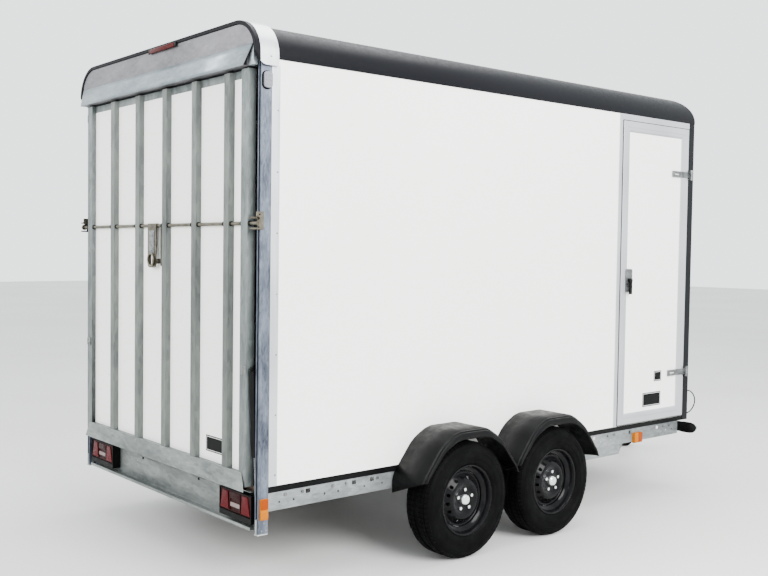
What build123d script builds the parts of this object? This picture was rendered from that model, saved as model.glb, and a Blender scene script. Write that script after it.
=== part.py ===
from build123d import *
import os
from math import atan2, cos, degrees, pi, radians, sin, sqrt

# Tandem-axle box trailer for carrying livestock, with a full-width rear loading ramp.
# Millimetres. +X is the right-hand side, +Y the direction of travel, +Z up.
# The origin is on the ground, at the middle of the whole length and width.

# ---- overall sizes
body_width = 1942.0
body_length = 3798.0
roof_height = 2812.0
hood_reach = 60.0
drawbar_reach = 1330.0

# ---- chassis
rail_bottom = 400.0
rail_height = 93.0
rail_flange = 50.0
rail_wall = 3.0
rail_inset = 6.0
rail_front_gap = 108.0
cross_member_height = 60.0
cross_member_width = 40.0
floor_thickness = 26.0
trim_wall = 3.0
beam_drop = 100.0
beam_wall = 4.0
plate_hole_spacing = 300.0
plate_hole_radius = 3.3

# ---- body shell
panel_thickness = 25.0
wall_drop = 184.0
roof_edge_radius = 172.0
roof_profile_proud = 4.0
roof_panel_thickness = 28.0
corner_profile_width = 68.0
corner_profile_wall = 3.0
arch_proud = 12.0
arch_front = 92.0
arch_rear = 17.0
rim_depth = 28.0
rim_height = 20.0
arch_drop = 221.0
hood_inset = 23.0
hood_fold_drop = 120.0
hood_end_cut = 54.0
post_width = 31.0
post_depth = 60.0
post_wall = 3.0
post_slot = 11.0
post_bottom = 294.0
post_foot_height = 72.0

# ---- ramp and its hinge
ramp_side_gap = 69.0
ramp_tube_width = 60.0
ramp_tube_depth = 45.0
ramp_skin_rear = 5.0
ramp_skin_thickness = 20.0
ramp_bottom = 522.0
ramp_drop = 229.0
ramp_rail_height = 66.0
ramp_head_height = 40.0
bar_count = 5
bar_base = 75.0
bar_crest = 48.0
bar_depth = 25.0
bar_wall = 2.5
last_bar_gap = 164.0
hinge_back = 22.0
hinge_height = 505.0
hinge_pin_radius = 6.0
hinge_pin_clearance = 0.06
hinge_lug_radius = 15.0
hinge_lug_width = 12.0
hinge_knuckle_width = 36.0
hinge_count = 4

# ---- lock rod across the ramp
rod_height = 1827.0
rod_back = 17.5
rod_radius = 9.0
rod_hole_clearance = 0.5
rod_end = 19.0
handle_centre = -62.0
handle_width = 98.0
handle_length = 238.0
keeper_pin_rise = 32.0
fork_gap = 44.0
fork_reach = 44.0
fork_plate = 8.0

# ---- ramp gas struts
strut_inset = 50.0
strut_top = 1110.0
strut_bottom = 314.0
strut_top_back = 8.0
strut_bottom_forward = 25.0
strut_tube_radius = 13.0
strut_tube_length = 440.0
strut_bore_radius = 11.0
strut_rod_radius = 5.0
strut_fit = 0.05

# ---- side door
door_width = 782.0
door_front_gap = 76.0
door_bottom = 532.0
door_drop = 227.0
door_overlap = 12.0
door_gap = 5.0
door_frame_depth = 9.5
door_frame_side = 74.0
door_frame_hinge_side = 90.0
door_hinge_inset = 325.0
door_hinge_low = 849.0
door_pin_out = 24.0
door_pin_back = 58.0
door_pin_radius = 5.0
door_lever_height = 1513.0

# ---- running gear
tyre_radius = 325.0
tyre_width = 188.0
wheel_centre_out = 141.0
rear_hub = 1256.0
hub_spacing = 757.0
bead_seat_radius = 186.0
rim_flange_radius = 196.0
stud_circle = 112.0
stud_count = 5
arm_length = 155.0
arm_rise = 20.0
axle_inset = 71.0
axle_tube = 80.0
spindle_radius = 16.0
spindle_clearance = 0.05
guard_width = 240.0
guard_top = 717.0
guard_wall = 5.0

# ---- drawbar, overrun coupling and nose wheel
arm_height = 70.0
arm_width = 50.0
arm_bend_back = 798.0
arm_start_back = 1548.0
draw_tube_radius = 25.0
draw_tube_height = 445.0
draw_tube_clearance = 0.06
ball_radius = 25.0
ball_clearance = 0.4
nose_side = -165.0
nose_forward = 930.0
nose_wheel_radius = 105.0
nose_wheel_width = 60.0
nose_tube_radius = 24.0
nose_screw_radius = 8.0

# ---- places worked out from the sizes
half_width = body_width / 2
wall_top = roof_height - wall_drop
arch_bottom = roof_height - arch_drop
hood_half_width = half_width - hood_inset
ramp_half_width = half_width - ramp_side_gap
ramp_top = roof_height - ramp_drop
bar_pitch = (2 * ramp_half_width - ramp_tube_width + 5 - last_bar_gap) / bar_count
rod_reach = half_width + rod_end
strut_side = half_width - strut_inset
door_front = body_length - door_front_gap
door_rear = door_front - door_width
door_top = roof_height - door_drop
door_hinge_heights = (door_hinge_low, door_top - door_hinge_inset)
door_lever_place = door_rear + 83
axle_end = half_width - axle_inset
arm_bend = body_length - arm_bend_back
arm_start = body_length - arm_start_back
rear = hood_reach - (hood_reach + body_length + drawbar_reach) / 2
front = rear + body_length
tip = front + drawbar_reach
trim_bottom = rail_bottom + rail_height
floor_bottom = trim_bottom + trim_wall
floor_top = floor_bottom + floor_thickness
wall_bottom = floor_top + trim_wall
rail_outer = half_width - rail_inset
post_inner = half_width - post_width
profile_outer = half_width + roof_profile_proud
edge_centre_height = roof_height - roof_edge_radius
hinge_y = rear - hinge_back
skin_rear = rear - ramp_skin_rear
skin_front = skin_rear + ramp_skin_thickness
tube_rear = rear - (ramp_tube_depth - ramp_skin_thickness + ramp_skin_rear)
hub_height = tyre_radius
wheel_x = half_width + wheel_centre_out
hub_places = (rear + rear_hub, rear + rear_hub + hub_spacing)
drawbar_nose = front + 650.0


def block(x0, x1, y0, y1, z0, z1):
    """Box between two corners."""
    middle = Pos((x0 + x1) / 2, (y0 + y1) / 2, (z0 + z1) / 2)
    return middle * Box(abs(x1 - x0), abs(y1 - y0), abs(z1 - z0))


def bar_x(x0, x1, y, z, radius):
    """Round bar along X."""
    return Pos((x0 + x1) / 2, y, z) * Rot(0, 90, 0) * Cylinder(radius, abs(x1 - x0))


def bar_y(y0, y1, x, z, radius):
    """Round bar along Y."""
    return Pos(x, (y0 + y1) / 2, z) * Rot(90, 0, 0) * Cylinder(radius, abs(y1 - y0))


def bar_z(z0, z1, x, y, radius):
    """Round bar along Z."""
    return Pos(x, y, (z0 + z1) / 2) * Cylinder(radius, abs(z1 - z0))


def prism(plane, points, amount):
    """Closed outline on a plane, pushed out along the plane's normal."""
    outline = plane * make_face(Polyline(*points, close=True))
    return extrude(outline, amount=amount, dir=plane.z_dir)


def prism_x(points, x0, x1):
    """Outline of (y, z) points between two X places."""
    return prism(Plane(origin=(x0, 0, 0), x_dir=(0, 1, 0), z_dir=(1, 0, 0)), points, x1 - x0)


def prism_y(points, y0, y1):
    """Outline of (x, z) points between two Y places."""
    return prism(Plane(origin=(0, y1, 0), x_dir=(1, 0, 0), z_dir=(0, -1, 0)), points, y1 - y0)


def prism_z(points, z0, z1):
    """Outline of (x, y) points between two Z heights."""
    return prism(Plane(origin=(0, 0, z0), x_dir=(1, 0, 0), z_dir=(0, 0, 1)), points, z1 - z0)


def mirrored(shape):
    """The same shape on the left-hand side."""
    return mirror(shape, about=Plane.YZ)


def both(shape):
    """A right-hand shape and its left-hand mirror."""
    return [shape, mirrored(shape)]


def write(name, *shapes):
    """One STEP file for one named piece, or for a group of like pieces."""
    solids = []
    for shape in shapes:
        parts = shape if isinstance(shape, (list, tuple)) else [shape]
        for part in parts:
            solids.extend(part.solids())
    whole = solids[0] if len(solids) == 1 else Compound(children=solids)
    whole.label = name
    export_step(whole, f"parts/{name}.step")


os.makedirs("parts", exist_ok=True)


# ======================================================================= chassis

def side_rail():
    """Galvanised channel under the right-hand wall, open inwards, with service holes."""
    y0 = rear + post_depth
    y1 = front - rail_front_gap
    rail = block(rail_outer - rail_flange, rail_outer, y0, y1, rail_bottom, trim_bottom)
    rail -= block(rail_outer - rail_flange - 1, rail_outer - rail_wall, y0 - 1, y1 + 1,
                  rail_bottom + rail_wall, trim_bottom - rail_wall)
    middle = rail_bottom + rail_height / 2
    for place in (0.07, 0.155, 0.19, 0.73, 0.84, 0.93):
        window_y = y0 + place * (y1 - y0)
        rail -= block(rail_outer - rail_wall - 1, rail_outer + 1,
                      window_y - 15, window_y + 15, middle + 12, middle + 34)
    for place in (0.02, 0.045, 0.1, 0.125, 0.175, 0.21, 0.75, 0.78, 0.88, 0.96, 0.98):
        hole_y = y0 + place * (y1 - y0)
        rail -= bar_x(rail_outer - rail_wall - 1, rail_outer + 1, hole_y, middle - 8, 6)
    return rail


def cross_member(y):
    """Folded channel between the side rails, open towards the rear."""
    reach = rail_outer - rail_flange
    z1 = floor_bottom
    z0 = z1 - cross_member_height
    member = block(-reach, reach, y, y + cross_member_width, z0, z1)
    member -= block(-reach - 1, reach + 1, y - 1, y + cross_member_width - rail_wall,
                    z0 + rail_wall, z1 - rail_wall)
    return member


def chassis_frame():
    """Two rails with the cross members between them."""
    pieces = both(side_rail())
    first = rear + post_depth + 40
    last = front - rail_front_gap - cross_member_width
    count = 8
    for index in range(count):
        pieces.append(cross_member(first + index * (last - first) / (count - 1)))
    return pieces


def rear_beam():
    """Deep channel across the tail, open to the rear, with turned-up lips for the lamps."""
    reach = post_inner - 34
    z0 = rail_bottom - beam_drop
    z1 = floor_bottom
    y0 = rear - 5
    y1 = rear + post_depth
    beam = block(-reach, reach, y0, y1, z0, z1)
    beam -= block(-reach - 1, reach + 1, y0 - 1, y1 - beam_wall, z0 + beam_wall, z1 - beam_wall)
    beam += block(-reach, reach, y0, y0 + beam_wall, z0, z0 + 16)
    for side in (-1, 1):
        beam -= bar_y(y1 - 10, y1 + 1, side * plate_hole_spacing / 2, rail_bottom, plate_hole_radius)
        beam -= bar_y(y1 - 10, y1 + 1, side * 320, rail_bottom + 40, 8)
        beam -= bar_y(y1 - 10, y1 + 1, side * 400, rail_bottom + 12, 5)
    return beam


def corner_post():
    """Right-hand rear post: a folded section with a slot down its rear face."""
    z0 = post_bottom
    z1 = wall_top
    y0 = rear
    y1 = rear + post_depth
    lip = (post_width - post_slot) / 2
    post = block(post_inner, half_width, y0, y1, z0, z1)
    post -= block(post_inner + post_wall, half_width - post_wall, y0 + post_wall,
                  y1 - post_wall, z0 - 1, z1 + 1)
    post -= block(post_inner + lip, half_width - lip, y0 - 1, y0 + post_wall + 1, z0 - 1, z1 + 1)
    web = block(post_inner - 34, post_inner + post_wall, y1 - post_wall, y1, z0, z1)
    return post + web


def post_foot():
    """Cast block that closes the bottom of the right-hand post."""
    inset = post_wall + 0.4
    foot = block(post_inner + inset, half_width - inset, rear + inset, rear + post_depth - inset,
                 post_bottom, post_bottom + post_foot_height)
    foot += block(post_inner - 2, half_width + 2, rear - 4, rear + post_depth,
                  post_bottom - 6, post_bottom)
    slot = (post_width - post_slot) / 2 + 0.4
    foot += block(post_inner + slot, half_width - slot, rear - 4, rear + inset + 1,
                  post_bottom - 6, post_bottom + post_foot_height)
    return foot


def floor_panel():
    """Plywood floor on the rails and cross members, with a tongue over the rear beam."""
    edge = half_width - trim_wall
    tongue = post_inner - 36
    deck = block(-edge, edge, rear + post_depth, front - trim_wall, floor_bottom, floor_top)
    deck += block(-tongue, tongue, rear + 22, rear + post_depth + 1, floor_bottom, floor_top)
    return deck


def floor_edge_trim():
    """Black channel round the edge of the floor, on both sides and across the front."""
    y0 = rear + post_depth
    outer = block(-half_width, half_width, y0, front, trim_bottom, wall_bottom)
    slot = block(-half_width + trim_wall, half_width - trim_wall, y0 - 1, front - trim_wall,
                 floor_bottom, floor_top)
    hollow = block(-half_width + panel_thickness, half_width - panel_thickness, y0 - 1,
                   front - panel_thickness, trim_bottom - 1, wall_bottom + 1)
    return outer - slot - hollow


# ==================================================================== body shell

def body_envelope(inset, y0, y1, rounded_front=True):
    """Solid outline of the upper body with rounded roof edges, drawn in by an inset."""
    radius = roof_edge_radius - inset
    reach = profile_outer - inset
    top = roof_height - inset
    low = rail_bottom
    centre_x = profile_outer - roof_edge_radius
    section = block(-reach, reach, y0, y1, low, edge_centre_height)
    section += block(-centre_x, centre_x, y0, y1, low, top)
    for side in (-1, 1):
        section += bar_y(y0, y1, side * centre_x, edge_centre_height, radius)
    if not rounded_front:
        return section
    centre_y = front + roof_profile_proud - roof_edge_radius
    length = block(-reach - 1, reach + 1, y0, centre_y, low, top + 1)
    length += block(-reach - 1, reach + 1, y0, centre_y + radius, low, edge_centre_height)
    length += bar_x(-reach - 1, reach + 1, centre_y, edge_centre_height, radius)
    return section & length


def wall_right():
    """Right-hand sandwich panel with the doorway cut through it."""
    panel = block(half_width - panel_thickness, half_width, rear + post_depth, front,
                  wall_bottom, wall_top)
    return panel - block(half_width - panel_thickness - 1, half_width + 1,
                         rear + door_rear + door_overlap, rear + door_front - door_overlap,
                         door_bottom + door_overlap, door_top - door_overlap)


def wall_left():
    """Left-hand sandwich panel."""
    return block(-half_width, -half_width + panel_thickness, rear + post_depth, front,
                 wall_bottom, wall_top)


def wall_front():
    """Front sandwich panel, between the side walls."""
    reach = half_width - panel_thickness
    return block(-reach, reach, front - panel_thickness, front, wall_bottom, wall_top)


def roof_panel():
    """Flat sandwich panel between the rounded edge profiles."""
    reach = profile_outer - roof_edge_radius
    return block(-reach, reach, rear, front + roof_profile_proud - roof_edge_radius,
                 roof_height - roof_panel_thickness, roof_height)


def roof_edge_profiles():
    """Rounded profiles along both sides and the front of the roof, mitred at the corners."""
    ring = body_envelope(0, rear, front + roof_profile_proud + 1)
    ring -= body_envelope(panel_thickness + roof_profile_proud, rear - 1,
                          front + roof_profile_proud + 1)
    reach = profile_outer - roof_edge_radius
    end = front + roof_profile_proud - roof_edge_radius
    ring -= block(-reach, reach, rear - 1, end, wall_top, roof_height + 1)
    ring &= block(-profile_outer - 1, profile_outer + 1, rear, front + 20, wall_top, roof_height + 1)
    out = profile_outer + 40
    fore = front + roof_profile_proud + 40
    back = roof_edge_radius + 40
    nose = prism_z([(-out, fore), (out, fore), (out - back, fore - back), (-out + back, fore - back)],
                   wall_top - 1, roof_height + 2)
    front_piece = ring & nose
    side_pieces = ring - nose
    return [front_piece, side_pieces]


def corner_profile():
    """Dark angle over the right-hand front corner, from the floor to the roof profile."""
    outer = half_width + corner_profile_wall
    fore = front + corner_profile_wall
    width = corner_profile_width
    angle = block(outer - width, outer, front, fore, trim_bottom, wall_top)
    angle += block(half_width, outer, fore - width, fore, trim_bottom, wall_top)
    corner = angle.edges().filter_by(Axis.Z).sort_by(lambda e: e.center().X + e.center().Y)[-1]
    return fillet(corner, corner_profile_wall * 0.9)


def roof_hoop(inner, outer, y0, y1, low):
    """Hoop over the roof between two offsets, ending at a height on each side."""
    hoop = body_envelope(-outer, y0, y1, False) - body_envelope(-inner, y0 - 1, y1 + 1, False)
    wide = profile_outer + outer + 1
    return hoop & block(-wide, wide, y0, y1, low, roof_height + outer + 1)


def hoop_heel():
    """What the hollow curve takes off the lower rear corner of the arch and its rim."""
    wide = profile_outer + arch_proud + 1
    curve = [(rear - 70, arch_bottom + 104), (rear - 46, arch_bottom + 58), (rear - 31, arch_bottom + 34),
             (rear - 16, arch_bottom + 14), (rear + 1, arch_bottom + 3), (rear + 19, arch_bottom)]
    return prism_x(curve + [(rear + 19, arch_bottom - 60), (rear - 70, arch_bottom - 60)], -wide, wide)


def rear_arch():
    """Bright aluminium hoop that caps the rear end of the roof profiles."""
    hoop = roof_hoop(arch_proud - 3, arch_proud, rear - arch_rear, rear + arch_front, arch_bottom)
    hoop += roof_hoop(0, arch_proud, rear + arch_front - 3, rear + arch_front, wall_top)
    return hoop - hoop_heel()


def rear_rim():
    """Dark rubber-edged rim behind the arch, which carries the high-level lamp."""
    y0 = rear - arch_rear - rim_depth
    y1 = rear - arch_rear
    return roof_hoop(arch_proud - rim_height, arch_proud, y0, y1, arch_bottom) - hoop_heel()


def header_hood():
    """Folded galvanised hood over the top of the ramp, on its box-section header."""
    y_back = rear - arch_rear - rim_depth + 6
    skin = 3.0
    fold = roof_height - hood_fold_drop
    lip = ramp_top + 8
    y_lip = rear - hood_reach
    top = roof_height + arch_proud - rim_height - 1
    outline = [(y_back, top), (y_back, fold), (y_lip, lip + 5), (y_lip, lip),
               (y_lip + 34, lip), (y_lip + 34, lip + skin), (y_lip + skin, lip + skin),
               (y_lip + skin, lip + 6), (y_back + skin, fold + 1), (y_back + skin, top)]
    wide = hood_half_width
    hood = prism_x(outline, -wide, wide)
    hood -= prism_y([(wide - hood_end_cut, lip - 1), (wide + 1, lip - 1), (wide + 1, fold)],
                    y_lip - 1, y_lip + 35)
    hood &= body_envelope(-(arch_proud - rim_height) + 1, y_lip - 1, rear, False)
    reach = ramp_half_width
    header = block(-reach, reach, y_back + skin, rear + post_depth, lip + skin, top)
    hollow = block(-reach - 1, reach + 1, y_back + 3 * skin, rear + post_depth - skin,
                   lip + 3 * skin, roof_height - panel_thickness - 20)
    header = (header - hollow) & body_envelope(panel_thickness + roof_profile_proud + 1, y_lip,
                                               front, False)
    return [hood, header]


def wall_trims():
    """Aluminium strips: down both rear wall ends, and round the doorway."""
    skin = 2.5
    y0 = rear + post_depth
    strip = block(half_width, half_width + skin, y0, y0 + 50, wall_bottom, wall_top - 34)
    face = half_width + 4.5
    jamb_y = rear + door_rear - 2
    jamb = block(half_width, face, jamb_y - 36, jamb_y, wall_bottom, wall_top)
    head = block(half_width, face, jamb_y, front - 66, door_top + 2, wall_top)
    return both(strip) + [jamb, head]


# ========================================================================= lamps

def tail_lamp_places():
    """Middle of each tail lamp along X."""
    return (211 - half_width, half_width - 211)


def tail_lamp_housing(x):
    """Black tray in the mouth of the rear beam."""
    y1 = rear + post_depth - beam_wall
    tray = block(x - 146, x + 146, rear + 2, y1, rail_bottom - 72, rail_bottom + 72)
    return tray - block(x - 142, x + 142, rear + 1, rear + 14, rail_bottom - 44, rail_bottom + 68)


def tail_lamp_lens(x):
    """Red lens seated in the tray, with its three raised fields."""
    body = block(x - 141.5, x + 141.5, rear + 6, rear + 14, rail_bottom - 43, rail_bottom + 67)
    for shift in (-96, 0, 96):
        body += block(x + shift - 38, x + shift + 38, rear, rear + 7, rail_bottom - 34, rail_bottom + 58)
    return body


def top_lamp():
    """Slim red lamp on the rear rim, set to the right of the middle."""
    y0 = rear - arch_rear - rim_depth
    z1 = roof_height + 2
    lamp = block(80 - 152, 80 + 152, y0 - 12, y0, z1 - 28, z1)
    return fillet(lamp.edges().filter_by(Axis.Y), 8)


def amber_markers():
    """Amber reflector lamps low on the posts and towards the front of the rails."""
    post_mark = block(half_width, half_width + 9, rear + 8, rear + 58, 364, 469)
    post_mark = fillet(post_mark.edges().filter_by(Axis.X), 6)
    y0 = rear + door_rear + 197
    rail_mark = block(rail_outer, rail_outer + 22, y0, y0 + 92, rail_bottom - 9, rail_bottom + 62)
    rail_mark = fillet(rail_mark.edges().filter_by(Axis.X), 6)
    return both(post_mark) + both(rail_mark)


def clear_lamps():
    """Oval clear marker lamps on the outer faces of the posts, near the top."""
    middle = Plane(origin=(half_width, rear + 30, roof_height - 291), x_dir=(0, 1, 0), z_dir=(1, 0, 0))
    base = extrude(middle * SlotOverall(89, 58, rotation=90), amount=6, dir=(1, 0, 0))
    lens = extrude(middle * SlotOverall(78, 47, rotation=90), amount=17, dir=(1, 0, 0))
    return both(base + lens)


def outline_lamps():
    """Rubber-armed marker lamps on the front ends of the rails."""
    y = front - 62
    z = rail_bottom + 45
    arm = bar_x(rail_outer - 90, rail_outer + 80, y, z, 36)
    arm += Pos(rail_outer + 80, y, z) * Sphere(36)
    arm += block(rail_outer - 44, rail_outer - 1, front - rail_front_gap, y, z - 16, z + 30)
    return both(arm)


# ================================================================== running gear

guard_arch = [(-362, 375), (-362, 472), (-215, 655), (-100, guard_top), (150, guard_top),
              (274, 640), (416, 456), (425, 404)]
guard_lip = [(-342, 374), (-342, 480), (-196, 640), (-70, 668), (150, 664),
             (260, 604), (398, 434), (403, 403)]


def guard_outline(hub_y, corners, grow):
    """Corner points of a mudguard's arch around its hub, moved outwards by grow."""
    middle = (40.0, 380.0)
    points = []
    for dy, z in corners:
        away_y = dy - middle[0]
        away_z = z - middle[1]
        length = sqrt(away_y ** 2 + away_z ** 2)
        points.append((hub_y + dy + grow * away_y / length, z + grow * away_z / length))
    return points


def mudguard(hub_y):
    """Moulded guard over one wheel: an arched shell with a stepped outer lip."""
    x0 = half_width
    x1 = half_width + guard_width
    low = 373
    shell = prism_x(guard_outline(hub_y, guard_arch, 0), x0, x1)
    shell -= prism_x(guard_outline(hub_y, guard_arch, -guard_wall), x0 - 1, x1 - guard_wall)
    shell -= prism_x(guard_outline(hub_y, guard_lip, 0), x0 - 1, x1 + 1)
    shell -= block(x0 - 1, x1 + 1, hub_y - 600, hub_y + 700, 0, low)
    for step, drop in ((16, 9), (32, 4)):
        ledge = prism_x(guard_outline(hub_y, guard_arch, 1), x1 - step, x1 + 1)
        ledge -= prism_x(guard_outline(hub_y, guard_arch, -drop), x1 - step - 1, x1 + 2)
        shell -= ledge
        web = prism_x(guard_outline(hub_y, guard_arch, -drop), x1 - step - guard_wall, x1 - guard_wall)
        web -= prism_x(guard_outline(hub_y, guard_arch, -drop - guard_wall), x1 - step - guard_wall - 1,
                       x1 - guard_wall + 1)
        web -= block(x0 - 1, x1 + 1, hub_y - 600, hub_y + 700, 0, low)
        shell += web
    return shell


def axle_beam(hub_y):
    """Square axle tube with its two brackets up to the rails."""
    y = hub_y + arm_length
    z = hub_height + arm_rise
    half = axle_tube / 2
    beam = block(-axle_end, axle_end, y - half, y + half, z - half, z + half)
    beam -= block(-axle_end - 1, axle_end + 1, y - half + 5, y + half - 5, z - half + 5, z + half - 5)
    for side in (-1, 1):
        x0 = min(side * (axle_end - 50), side * (axle_end - 10))
        beam += block(x0, x0 + 40, y - 70, y + 70, z + half, rail_bottom)
        x1 = min(side * (axle_end - 10), side * axle_end)
        beam += block(x1, x1 + 10, y - half, y + half, z - half, z + half)
        shaft0 = min(side * (axle_end - 1), side * (axle_end + 4))
        beam += bar_x(shaft0, shaft0 + 5, y, z, 25)
        x2 = min(side * (axle_end - 50), side * rail_outer)
        beam += block(x2, x2 + rail_outer - axle_end + 50, y - 70, y + 70, rail_bottom - 6, rail_bottom)
    return beam


def swing_arm(hub_y):
    """Right-hand trailing arm, from the axle tube's end to the wheel spindle."""
    y = hub_y + arm_length
    z = hub_height + arm_rise
    x0 = axle_end + 4.5
    x1 = axle_end + 34
    arm = bar_x(x0, x1, y, z, 36)
    arm += bar_x(x0, x1, hub_y, hub_height, 30)
    run = sqrt(arm_length ** 2 + arm_rise ** 2)
    tilt = degrees(atan2(arm_rise, arm_length))
    middle = Pos((x0 + x1) / 2, hub_y + arm_length / 2, hub_height + arm_rise / 2)
    arm += middle * Rot(tilt, 0, 0) * Box(x1 - x0, run, 44)
    return arm + bar_x(x1, wheel_x + 20, hub_y, hub_height, spindle_radius)


def tyre(hub_y):
    """Right-hand tyre: a revolved section with a flat tread and four grooves."""
    half = tyre_width / 2
    bead = bead_seat_radius + 0.3
    section = [(bead, -66), (rim_flange_radius + 6, -79), (rim_flange_radius + 24, -half + 4),
               ((rim_flange_radius + tyre_radius) / 2 - 2.5, -half), (tyre_radius - 32, -half + 8),
               (tyre_radius - 10, -half + 22), (tyre_radius, -half + 34)]
    for groove in (-38, -13, 13, 38):
        section += [(tyre_radius, groove - 4), (tyre_radius - 8, groove - 3),
                    (tyre_radius - 8, groove + 3), (tyre_radius, groove + 4)]
    section += [(r, -x) for r, x in reversed(section[:7])]
    section += [(bead, 56), (bead, -56)]
    face = Plane.XZ * make_face(Polyline(*section, close=True))
    ring = revolve(face, Axis.Z, 360)
    return Pos(wheel_x, hub_y, hub_height) * Rot(0, 90, 0) * ring


def rim(hub_y):
    """Right-hand pressed steel wheel with its drum, nuts and hub cap as separate solids."""
    flange = rim_flange_radius
    seat = bead_seat_radius
    well = bead_seat_radius - 27
    barrel = [(flange, 76), (flange, 80), (seat, 80), (seat - 5, 70), (seat - 5, 57),
              (well - 5, 40), (well - 5, -10), (seat - 5, -53), (seat - 5, -70), (seat, -80),
              (flange, -80), (flange, -76), (seat, -69), (seat, -54), (well, -8), (well, 38),
              (seat, 56), (seat, 69)]
    disc = [(32, 44), (70, 44), (84, 52), (108, 54), (132, 32), (well - 4, 24),
            (well - 4, 10), (130, 22), (106, 46), (86, 45), (72, 37), (32, 37)]
    ring = revolve(Plane.XZ * make_face(Polyline(*barrel, close=True)), Axis.Z, 360)
    ring += revolve(Plane.XZ * make_face(Polyline(*disc, close=True)), Axis.Z, 360)
    for index in range(16):
        spot = Rot(0, 0, index * 22.5) * Pos(122, 0, 36)
        ring -= spot * Rot(0, 48, 0) * Cylinder(8, 60)
    for index in range(stud_count):
        ring -= Rot(0, 0, index * 360 / stud_count) * Pos(stud_circle / 2, 0, 40) * Cylinder(7, 20)
    hub = Pos(0, 0, 21) * Cylinder(70, 32) + Pos(0, 0, 50) * Cylinder(31, 30)
    hub += Pos(0, 0, -21) * Cylinder(125, 52)
    hub += Pos(0, 0, 68) * Cylinder(28, 10)
    for index in range(stud_count):
        hub += Rot(0, 0, index * 360 / stud_count) * Pos(stud_circle / 2, 0, 44) * Cylinder(6.6, 20)
    bore = spindle_radius + spindle_clearance
    hub -= Pos(0, 0, -12) * Cylinder(bore, 80)
    nuts = []
    for index in range(stud_count):
        nut = Rot(0, 0, index * 360 / stud_count) * Pos(stud_circle / 2, 0, 44)
        body = extrude(RegularPolygon(11, 6), amount=17)
        nuts.append(nut * (body - Cylinder(6.6, 20)))
    place = Pos(wheel_x, hub_y, hub_height) * Rot(0, 90, 0)
    return [place * shape for shape in [ring, hub] + nuts]


# ========================================================================== ramp

def ramp_frame():
    """Side tubes with the head and foot rails between them."""
    y1 = skin_front
    y0 = y1 - ramp_tube_depth
    inner = ramp_half_width - ramp_tube_width
    tube = block(inner, ramp_half_width, y0, y1, ramp_bottom, ramp_top)
    tube -= block(inner + 3, ramp_half_width - 3, y0 + 3, y1 - 3, ramp_bottom + 3, ramp_top - 3)
    tube -= bar_x(inner - 1, ramp_half_width + 1, rear - rod_back, rod_height,
                  rod_radius + rod_hole_clearance)
    stud = bar_x(ramp_half_width, strut_side - strut_tube_radius - 0.5, rear - strut_top_back,
                 strut_top, 9)
    head = block(-inner, inner, skin_rear, y1, ramp_top - ramp_head_height, ramp_top)
    foot = block(-inner, inner, y0, y1, ramp_bottom, ramp_bottom + ramp_rail_height)
    foot -= block(-inner - 1, inner + 1, y0 + 3, y1 - 3, ramp_bottom + 3,
                  ramp_bottom + ramp_rail_height - 3)
    side = tube + stud
    return [side, mirrored(side), head, foot]


def ramp_panel():
    """White sandwich skin of the ramp."""
    inner = ramp_half_width - ramp_tube_width
    return block(-inner, inner, skin_rear, skin_front, ramp_bottom + ramp_rail_height,
                 ramp_top - ramp_head_height)


def ramp_bars():
    """Galvanised hat sections up the outside of the skin, bored for the lock rod."""
    first = -(ramp_half_width - ramp_tube_width / 2 + 5) + bar_pitch
    bars = []
    y0 = skin_rear
    y1 = skin_rear - bar_depth
    base = bar_base / 2
    crest = bar_crest / 2
    for index in range(bar_count):
        x = first + index * bar_pitch
        outer = [(x - base, y0), (x - crest, y1), (x + crest, y1), (x + base, y0)]
        inner = [(x - base + 3.4, y0 + 1), (x - crest + 1.6, y1 + bar_wall),
                 (x + crest - 1.6, y1 + bar_wall), (x + base - 3.4, y0 + 1)]
        z0 = ramp_bottom + ramp_rail_height
        z1 = ramp_top - 3
        bar = prism_z(outer, z0, z1) - prism_z(inner, z0 - 1, z1 + 1)
        bars.append(bar - bar_x(x - 60, x + 60, rear - rod_back, rod_height,
                                rod_radius + rod_hole_clearance))
    return bars


def hinge_stations():
    """X places of the ramp hinges."""
    spread = 2 * (ramp_half_width - 130)
    return [-spread / 2 + index * spread / (hinge_count - 1) for index in range(hinge_count)]


def ramp_apron():
    """Sloping foot plate over the hinges, with the hinge knuckles on the ramp's side."""
    skin = 3.0
    outline = [(tube_rear - 3, 590), (tube_rear - 15, 498), (tube_rear - 15 + skin, 498),
               (tube_rear, 588), (tube_rear, 590)]
    reach = ramp_half_width
    plate = prism_x(outline, -reach, reach)
    cut = prism_y([(reach - 36, 591), (reach + 1, 591), (reach + 1, 500)],
                  tube_rear - 40, tube_rear + 1)
    plate = plate - cut - mirrored(cut)
    bore = hinge_pin_radius + hinge_pin_clearance
    knuckles = []
    for x in hinge_stations():
        x0 = x + hinge_lug_width / 2 + 0.5
        x1 = x0 + hinge_knuckle_width
        knuckle = bar_x(x0, x1, hinge_y, hinge_height, hinge_lug_radius - 1)
        knuckle += block(x0, x1, hinge_y - 8, hinge_y + 8, hinge_height, ramp_bottom)
        knuckles.append(knuckle - bar_x(x0 - 1, x1 + 1, hinge_y, hinge_height, bore))
    return [plate] + knuckles


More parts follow.
